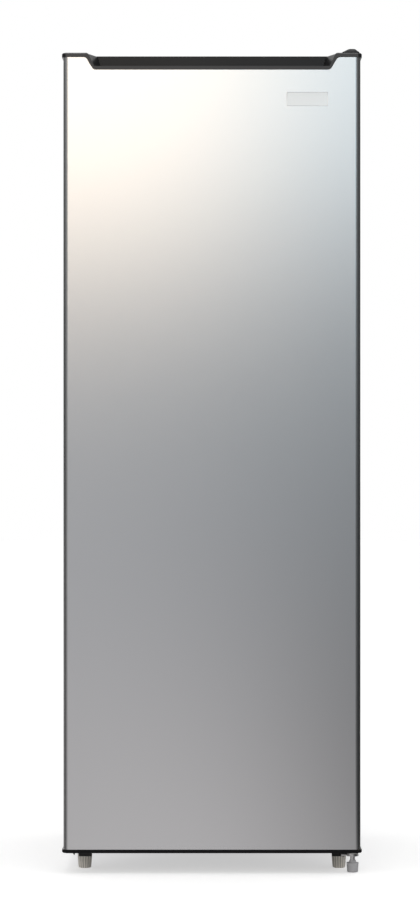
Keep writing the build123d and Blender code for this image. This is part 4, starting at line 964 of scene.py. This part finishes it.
    def on_lit_band(self, face: bmesh.types.BMFace) -> bool:
        """Tells whether a face of the top cap is part of the band that looks forward, left of the
        right ear, which gets painted light as a paler colour.

        Args:
            face: The face.

        Returns:
            Whether it is.
        """
        centre = face.calc_center_median()
        return (face.normal.y < FORWARD and centre.x < self.cutout_half
                and centre.y < self.lit_band_y)

    def bare_plate(self) -> None:
        """Makes the thin bare plate near the door's upper corner."""
        plate = block("bare_plate", self.plate_low, self.plate_high)
        with editing(plate):
            pick(plate, Kind.FACES, lambda face: face.normal.y < FORWARD)
            bpy.ops.mesh.inset(thickness=self.plate_rim, depth=-self.plate_recess)
        round_off(plate, self.plate_edge)
        finish_piece(plate, "bare_plate", "door", PLATE)


# ---------------- cabinet
@dataclass(frozen=True)
class Cabinet(Assembly):
    """The painted cabinet, its liner, its sheet-metal back and base, and the thermostat."""

    dressings: tuple[Dressing, ...] = (
        Dressing("cabinet_shell", CABINET_PAINT, edge=0.0005, steps=1),
        Dressing("cabinet_back_panel", GALVANISED, edge=0.0003, steps=1),
        Dressing("base_pan", GALVANISED, edge=0.0004, steps=1),
        Dressing("cabinet_liner", LINER, edge=0.0004, steps=1),
        Dressing("cabinet_foam", FOAM),
        Dressing("cord_gland", GROMMET, edge=0.0004, steps=1),
        Dressing("thermostat_box", CONTROL, edge=0.0008),
        Dressing("thermostat_knob", KNOB, edge=0.0008),
    )


# ---------------- hinges
@dataclass(frozen=True)
class Hinges(Assembly):
    """The hinge brackets, pins, screws and the cover over the top hinge."""

    dressings: tuple[Dressing, ...] = (
        Dressing("top_hinge_cover", COVER_BLACK, edge=0.0012, steps=3),
        Dressing("top_hinge_bracket", ZINC, edge=0.0004),
        Dressing("bottom_hinge_bracket", ZINC, edge=0.0004),
        Dressing("top_hinge_pin", ZINC, edge=0.0003),
        Dressing("bottom_hinge_pin", ZINC, edge=0.0003),
        Dressing("top_hinge_screws", ZINC, edge=0.0003),
        Dressing("bottom_hinge_screws", ZINC, edge=0.0003),
        Dressing("hinge_hole_plugs", BUSH, edge=0.0003),
    )


# ---------------- feet and rollers
@dataclass(frozen=True)
class Feet(Assembly):
    """The levelling feet at the front and the rollers at the back."""

    dressings: tuple[Dressing, ...] = (
        Dressing("foot_brackets", BRACKET_BLACK, edge=0.0003),
        Dressing("left_foot_cup", FOOT_IVORY, edge=0.0004),
        Dressing("left_foot_stud", ZINC, edge=0.0003),
        Dressing("rear_left_roller", ROLLER, edge=0.0008),
        Dressing("right_foot_cup", FOOT_IVORY, edge=0.0004),
        Dressing("right_foot_stud", ZINC, edge=0.0003),
        Dressing("rear_right_roller", ROLLER, edge=0.0008),
        Dressing("hinge_foot_cup", FOOT_GREY, edge=0.0005),
        Dressing("hinge_foot_stud", ZINC, edge=0.0003),
        Dressing("rear_roller_brackets", GALVANISED, edge=0.0003),
        Dressing("rear_roller_axles", ZINC, edge=0.0003),
    )


# ---------------- cooling
@dataclass(frozen=True)
class CoolingCircuit(Assembly):
    """The compressor, the condenser, the evaporator shelves and the lines between them."""

    dressings: tuple[Dressing, ...] = (
        Dressing("compressor_mount_plate", GALVANISED, edge=0.0004),
        Dressing("compressor_grommets", GROMMET, edge=0.0012),
        Dressing("compressor_feet_plate", POT_BLACK, edge=0.0005),
        Dressing("compressor_motor", IRON),
        Dressing("compressor_lower_shell", POT_BLACK, edge=0.0012),
        Dressing("compressor_upper_shell", POT_BLACK, edge=0.0012),
        Dressing("relay_cover", ROLLER, edge=0.0012, steps=3),
        Dressing("condenser_wires", COIL_BLACK, edge=0.0006, steps=1),
        Dressing("evaporator_wires", SHELF_WHITE, edge=0.0010, steps=1),
        Dressing("condenser_spacers", ROLLER, edge=0.0010),
        Dressing("shelf_clips", BUSH, edge=0.0006),
        Dressing("filter_drier", COPPER, edge=0.0004),
    )
    # The coil on the back, from its inlet at the top.
    coil_runs: int = 12
    coil_pitch: float = 0.07
    coil_top_z: float = 1.190
    coil_half_run: float = 0.200
    coil_inlet_x: float = 0.216
    coil_tube: float = 0.005
    # The shelves, from the lowest, and the risers at their ends.
    shelf_levels: tuple[float, ...] = (0.336, 0.604, 0.872, 1.140)
    shelf_runs: int = 6
    shelf_back_y: float = 0.1835
    shelf_pitch: float = 0.06
    shelf_half_run: float = 0.172
    shelf_tube: float = 0.008
    riser_start: float = 0.184
    riser_reach: float = 0.019
    riser_bend: float = 0.014
    port_x: float = 0.2245
    # The lines: the Y of the compressor's ports, and X and Z of ports and turns.
    pump_y: float = 0.166
    behind_gap: float = 0.020
    discharge_port: Span = (0.180, 0.128)
    discharge_x: float = 0.256
    drier_z: float = 0.292
    capillary_turn: Span = (-0.244, 0.262)
    suction_port: Span = (0.112, 0.1985)
    suction_turn: Span = (-0.256, 0.2185)

    def make(self, shop: Workshop) -> None:
        """Makes and dresses the cooling circuit.

        Args:
            shop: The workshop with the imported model.
        """
        super().make(shop)
        self.condenser()
        self.shelves()
        self.lines()

    def condenser(self) -> None:
        """Makes the coil on the back."""
        route = serpentine(self.coil_runs, (0, SIZES.condenser_y, self.coil_top_z),
                           (0, 0, -self.coil_pitch), self.coil_half_run,
                           first=self.coil_inlet_x, last=self.coil_half_run)
        coil = Pipe("condenser_coil", route, self.coil_pitch / 2 - HAIR, self.coil_tube).make()
        finish_piece(coil, "condenser_coil", "cabinet", COIL_BLACK, ("condenser_tube",))

    def shelves(self) -> None:
        """Makes the tube of each shelf and the risers that join them."""
        back_y, levels, start_x = self.shelf_back_y, self.shelf_levels, -self.riser_start
        for number, level in enumerate(levels, start=1):
            first = -self.port_x if number in (1, len(levels)) else start_x
            route = serpentine(self.shelf_runs, (0, back_y, level), (0, -self.shelf_pitch, 0),
                               self.shelf_half_run, first, last=start_x)
            tube = Pipe(f"shelf_tube_{number}", route, self.shelf_pitch / 2 - HAIR,
                        self.shelf_tube).make()
            finish_piece(tube, f"shelf_tube_{number}", "cabinet", SHELF_WHITE,
                         (f"evaporator_tube_{number}",))
        front_y, reach = back_y - (self.shelf_runs - 1) * self.shelf_pitch, self.riser_reach
        risers = []
        for number, (low, high) in enumerate(zip(levels, levels[1:]), start=1):
            y = front_y if number % 2 else back_y
            route = ((start_x, y, high), (start_x - reach, y, high), (start_x - reach, y, low),
                     (start_x, y, low))
            risers.append(Pipe(f"riser_{number}", route, self.riser_bend, self.shelf_tube).make())
        finish_piece(join(risers), "shelf_risers", "cabinet", SHELF_WHITE,
                     ("evaporator_risers",))

    def lines(self) -> None:
        """Makes the refrigerant lines from the compressor to the coil and to the shelves."""
        pump_y, back_y = self.pump_y, SIZES.condenser_y
        shelf_y, behind_y = self.shelf_back_y, SIZES.cabinet_back_y + self.behind_gap
        bottom_z, top_z = self.shelf_levels[0], self.shelf_levels[-1]

        (start_x, start_z), turn_x = self.discharge_port, self.discharge_x
        self.line("discharge", COIL_BLACK, bend=0.016, diameter=0.005, route=(
            (start_x, pump_y, start_z), (turn_x, pump_y, start_z), (turn_x, back_y, start_z),
            (turn_x, back_y, self.coil_top_z), (self.coil_inlet_x, back_y, self.coil_top_z)))

        turn_x, turn_z = self.capillary_turn
        self.line("capillary", COPPER, bend=0.006, diameter=0.003, route=(
            (self.coil_inlet_x, back_y, self.drier_z), (self.coil_inlet_x, back_y, turn_z),
            (turn_x, back_y, turn_z), (turn_x, behind_y, turn_z), (turn_x, behind_y, top_z),
            (turn_x, shelf_y, top_z), (-self.port_x, shelf_y, top_z)))

        (start_x, start_z), (turn_x, turn_z) = self.suction_port, self.suction_turn
        self.line("suction", COPPER, bend=0.016, diameter=0.006, route=(
            (start_x, pump_y, start_z), (start_x, pump_y, turn_z), (turn_x, pump_y, turn_z),
            (turn_x, behind_y, turn_z), (turn_x, behind_y, bottom_z),
            (turn_x, shelf_y, bottom_z), (-self.port_x, shelf_y, bottom_z)))

    def line(self, name: str, finish: Finish, bend: float, diameter: float,
             route: tuple[Point, ...]) -> None:
        """Makes one refrigerant line.

        Args:
            name: What it carries or is.
            finish: Its finish.
            bend: Radius of its bends.
            diameter: Its outer diameter.
            route: The corners of its route.
        """
        tube = Pipe(f"{name}_line", route, bend, diameter).make()
        finish_piece(tube, f"{name}_line", "cabinet", finish, (f"{name}_tube",))


# ---------------- studio
@dataclass(frozen=True)
class Lamp:
    """A soft rectangular lamp of the studio.

    Attributes:
        name: The lamp's name.
        place: Where it hangs.
        aim: The point that it faces.
        size: Its width and height.
        power: Its power in watts.
        colour: Its colour.
    """

    name: str
    place: Point
    aim: Point
    size: tuple[float, float]
    power: float
    colour: Colour

    def hang(self) -> None:
        """Adds the lamp to the scene."""
        data = bpy.data.lights.new(self.name, "AREA")
        data.shape = "RECTANGLE"
        data.size, data.size_y = self.size
        data.energy = self.power
        data.color = self.colour
        lamp = bpy.data.objects.new(self.name, data)
        lamp.location = self.place
        look = Vector(self.aim) - Vector(self.place)
        lamp.rotation_euler = look.to_track_quat("-Z", "Y").to_euler()
        bpy.context.scene.collection.objects.link(lamp)


@dataclass(frozen=True)
class Studio:
    """The camera, the floor and the light."""

    camera_place: Point = (-0.0035, -5.1875, 0.7582)
    focal_mm: float = 104.9
    sensor_mm: float = 36.0
    picture_px: float = 918.0
    horizon_px: float = 460.0
    view_end: float = 60.0
    floor_size: float = 40.0
    floor_paint: Colour = (0.72, 0.72, 0.72)
    floor_roughness: float = 0.85
    floor_gloss: float = 0.1
    floor_lift: Colour = (0.50, 0.50, 0.50)
    floor_shine: Colour = (0.73, 0.71, 0.73)
    # The floor's strength in a reflection, from one range of X to one of strength, and then
    # by how far to the side of the door it lies for each metre in front of it.
    floor_fade: tuple[Span, Span] = ((-0.1, 0.7), (1.0, 0.2))
    floor_sides: Shades = ((0.18, 1.0), (0.44, 0.55), (0.80, 0.25), (1.0, 0.15))
    floor_front_y: float = -0.28
    # The room's light, and its front wall in a reflection, by height and from left to right.
    ambient: Colour = (0.70, 0.70, 0.70)
    room_low: Colour = (0.40, 0.50, 0.61)
    room_high: Colour = (0.05, 0.06, 0.08)
    room_rise: Span = (0.0, 0.15)
    front_sides: Shades = ((0.28, 0.08), (0.43, 1.0), (0.50, 1.0), (0.65, 0.08))
    # A glow at the sides that the door's rounded edges catch, from left to right.
    flank_glow: Shades = (
        (0.0, 0.24), (0.02, 0.14), (0.085, 0.25), (0.20, 0.45), (0.33, 0.70), (0.39, 0.0),
        (0.61, 0.0), (0.67, 0.35), (0.80, 0.20), (0.915, 0.10), (0.98, 0.06), (1.0, 0.22))
    glow_rise: Span = (0.04, 0.14)
    # The wall behind the freezer and the ceiling, and where each sets in and is full.
    back_wall: Colour = (0.9, 0.9, 0.9)
    back_wall_span: Span = (0.5, 0.95)
    ceiling: Colour = (3.2, 3.2, 3.2)
    ceiling_span: Span = (0.75, 0.97)
    white: Colour = (1.0, 1.0, 1.0)
    lamps: tuple[Lamp, ...] = (
        Lamp("key_lamp", (-0.75, -5.4, 2.45), (0.0, -0.3, 1.2), (1.7, 1.8), power=27.8,
             colour=(1.0, 0.865, 0.74)),
        Lamp("cool_lamp", (0.85, -5.35, 2.55), (0.0, -0.3, 1.2), (1.7, 1.7), power=13.8,
             colour=(0.73, 0.89, 1.0)),
        Lamp("top_lamp", (0.0, -0.4, 4.2), (0.0, 0.0, 0.0), (3.0, 3.0), power=25.0,
             colour=(1.0, 1.0, 1.0)),
    )

    def make(self) -> None:
        """Sets the camera, the floor and the lamps up."""
        self.camera()
        self.floor()
        self.world()
        for lamp in self.lamps:
            lamp.hang()
        bpy.context.scene.view_settings.view_transform = "Standard"

    def camera(self) -> None:
        """Adds a level camera that looks along +Y from the photograph's place."""
        data = bpy.data.cameras.new("camera")
        data.sensor_fit = "VERTICAL"
        data.sensor_height = self.sensor_mm
        data.lens = self.focal_mm
        data.shift_y = (self.horizon_px - self.picture_px / 2) / self.picture_px
        data.clip_end = self.view_end
        eye = bpy.data.objects.new("camera", data)
        eye.location = self.camera_place
        eye.rotation_euler = (math.pi / 2, 0, 0)
        bpy.context.scene.collection.objects.link(eye)
        bpy.context.scene.camera = eye

    def floor(self) -> None:
        """Lays a pale floor that keeps the freezer's shadow and looks white to the camera.

        In a reflection it is a plain sheet that gets darker towards the right and to the sides.
        """
        bpy.ops.object.select_all(action="DESELECT")
        bpy.ops.mesh.primitive_plane_add(size=self.floor_size, location=(0, 0, 0))
        ground = bpy.context.active_object
        ground.name = "studio_floor"
        material = bpy.data.materials.new("studio_floor_pale")
        material.use_nodes = True
        bench = NodeBench(material.node_tree)
        nodes = material.node_tree.nodes
        matt = nodes["Principled BSDF"]
        bench.feed(matt.inputs["Base Color"], self.floor_paint)
        bench.feed(matt.inputs["Roughness"], self.floor_roughness)
        bench.feed(matt.inputs["Specular IOR Level"], self.floor_gloss)
        rays = bench.add("LightPath").outputs
        lift = bench.add("Emission", {"Color": self.floor_lift,
                                      "Strength": rays["Is Camera Ray"]})
        lit = bench.add("AddShader", {0: matt.outputs["BSDF"], 1: lift.outputs["Emission"]})

        place = bench.add("TexCoord").outputs["Object"]
        parts = bench.add("SeparateXYZ", {"Vector": place}).outputs
        beside = bench.sum("SUBTRACT", bench.sum("ABSOLUTE", parts["X"]), SIZES.cabinet_half)
        ahead = bench.sum("MULTIPLY_ADD", parts["Y"], -1.0, self.floor_front_y)
        edge = bench.ramp(bench.sum("DIVIDE", beside, ahead), self.floor_sides)
        mirrored = bench.add("Emission", {
            "Color": bench.blend("MULTIPLY", 1.0, edge, self.floor_shine),
            "Strength": bench.carry(parts["X"], *self.floor_fade, smooth=True)})
        both = bench.add("MixShader", {"Fac": rays["Is Glossy Ray"], 1: lit.outputs["Shader"],
                                       2: mirrored.outputs["Emission"]})
        bench.feed(nodes["Material Output"].inputs["Surface"], both.outputs["Shader"])
        ground.data.materials.append(material)

    def world(self) -> None:
        """Makes the room: white to the camera, plain for the light, and soft in reflections.

        In a reflection the ceiling and the wall behind the freezer are white, the sides are
        dark, and the front is a grey that changes with height and ends in the dark.
        """
        world = bpy.data.worlds.new("studio")
        bpy.context.scene.world = world
        world.use_nodes = True
        bench = NodeBench(world.node_tree)
        place = bench.add("TexCoord").outputs["Generated"]
        parts = bench.add("SeparateXYZ", {"Vector": place}).outputs
        wall = bench.blend("MIX", bench.carry(parts["Z"], self.room_rise),
                           self.room_low, self.room_high)
        across = bench.carry(parts["X"], (-1.0, 1.0))
        front = bench.blend("MULTIPLY", 1.0, bench.ramp(across, self.front_sides), wall)
        room = bench.blend("ADD", bench.carry(parts["Z"], self.glow_rise, smooth=True),
                           front, bench.ramp(across, self.flank_glow))
        for axis, span, shade in (("Y", self.back_wall_span, self.back_wall),
                                  ("Z", self.ceiling_span, self.ceiling)):
            room = bench.blend("MIX", bench.carry(parts[axis], span, smooth=True), room, shade)
        rays = bench.add("LightPath").outputs
        lit = bench.blend("MIX", rays["Is Glossy Ray"], self.ambient, room)
        shown = bench.blend("MIX", rays["Is Camera Ray"], lit, self.white)
        bench.feed(world.node_tree.nodes["Background"].inputs["Color"], shown)


def main() -> None:
    """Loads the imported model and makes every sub-assembly."""
    logging.basicConfig(level=logging.INFO, format="%(message)s")
    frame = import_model()
    shop = Workshop(frame)
    Studio().make()
    for assembly in (Door(), Cabinet(), Hinges(), Feet(), CoolingCircuit()):
        assembly.make(shop)
        log.info("%s made", type(assembly).__name__)


if __name__ == "__main__":
    main()
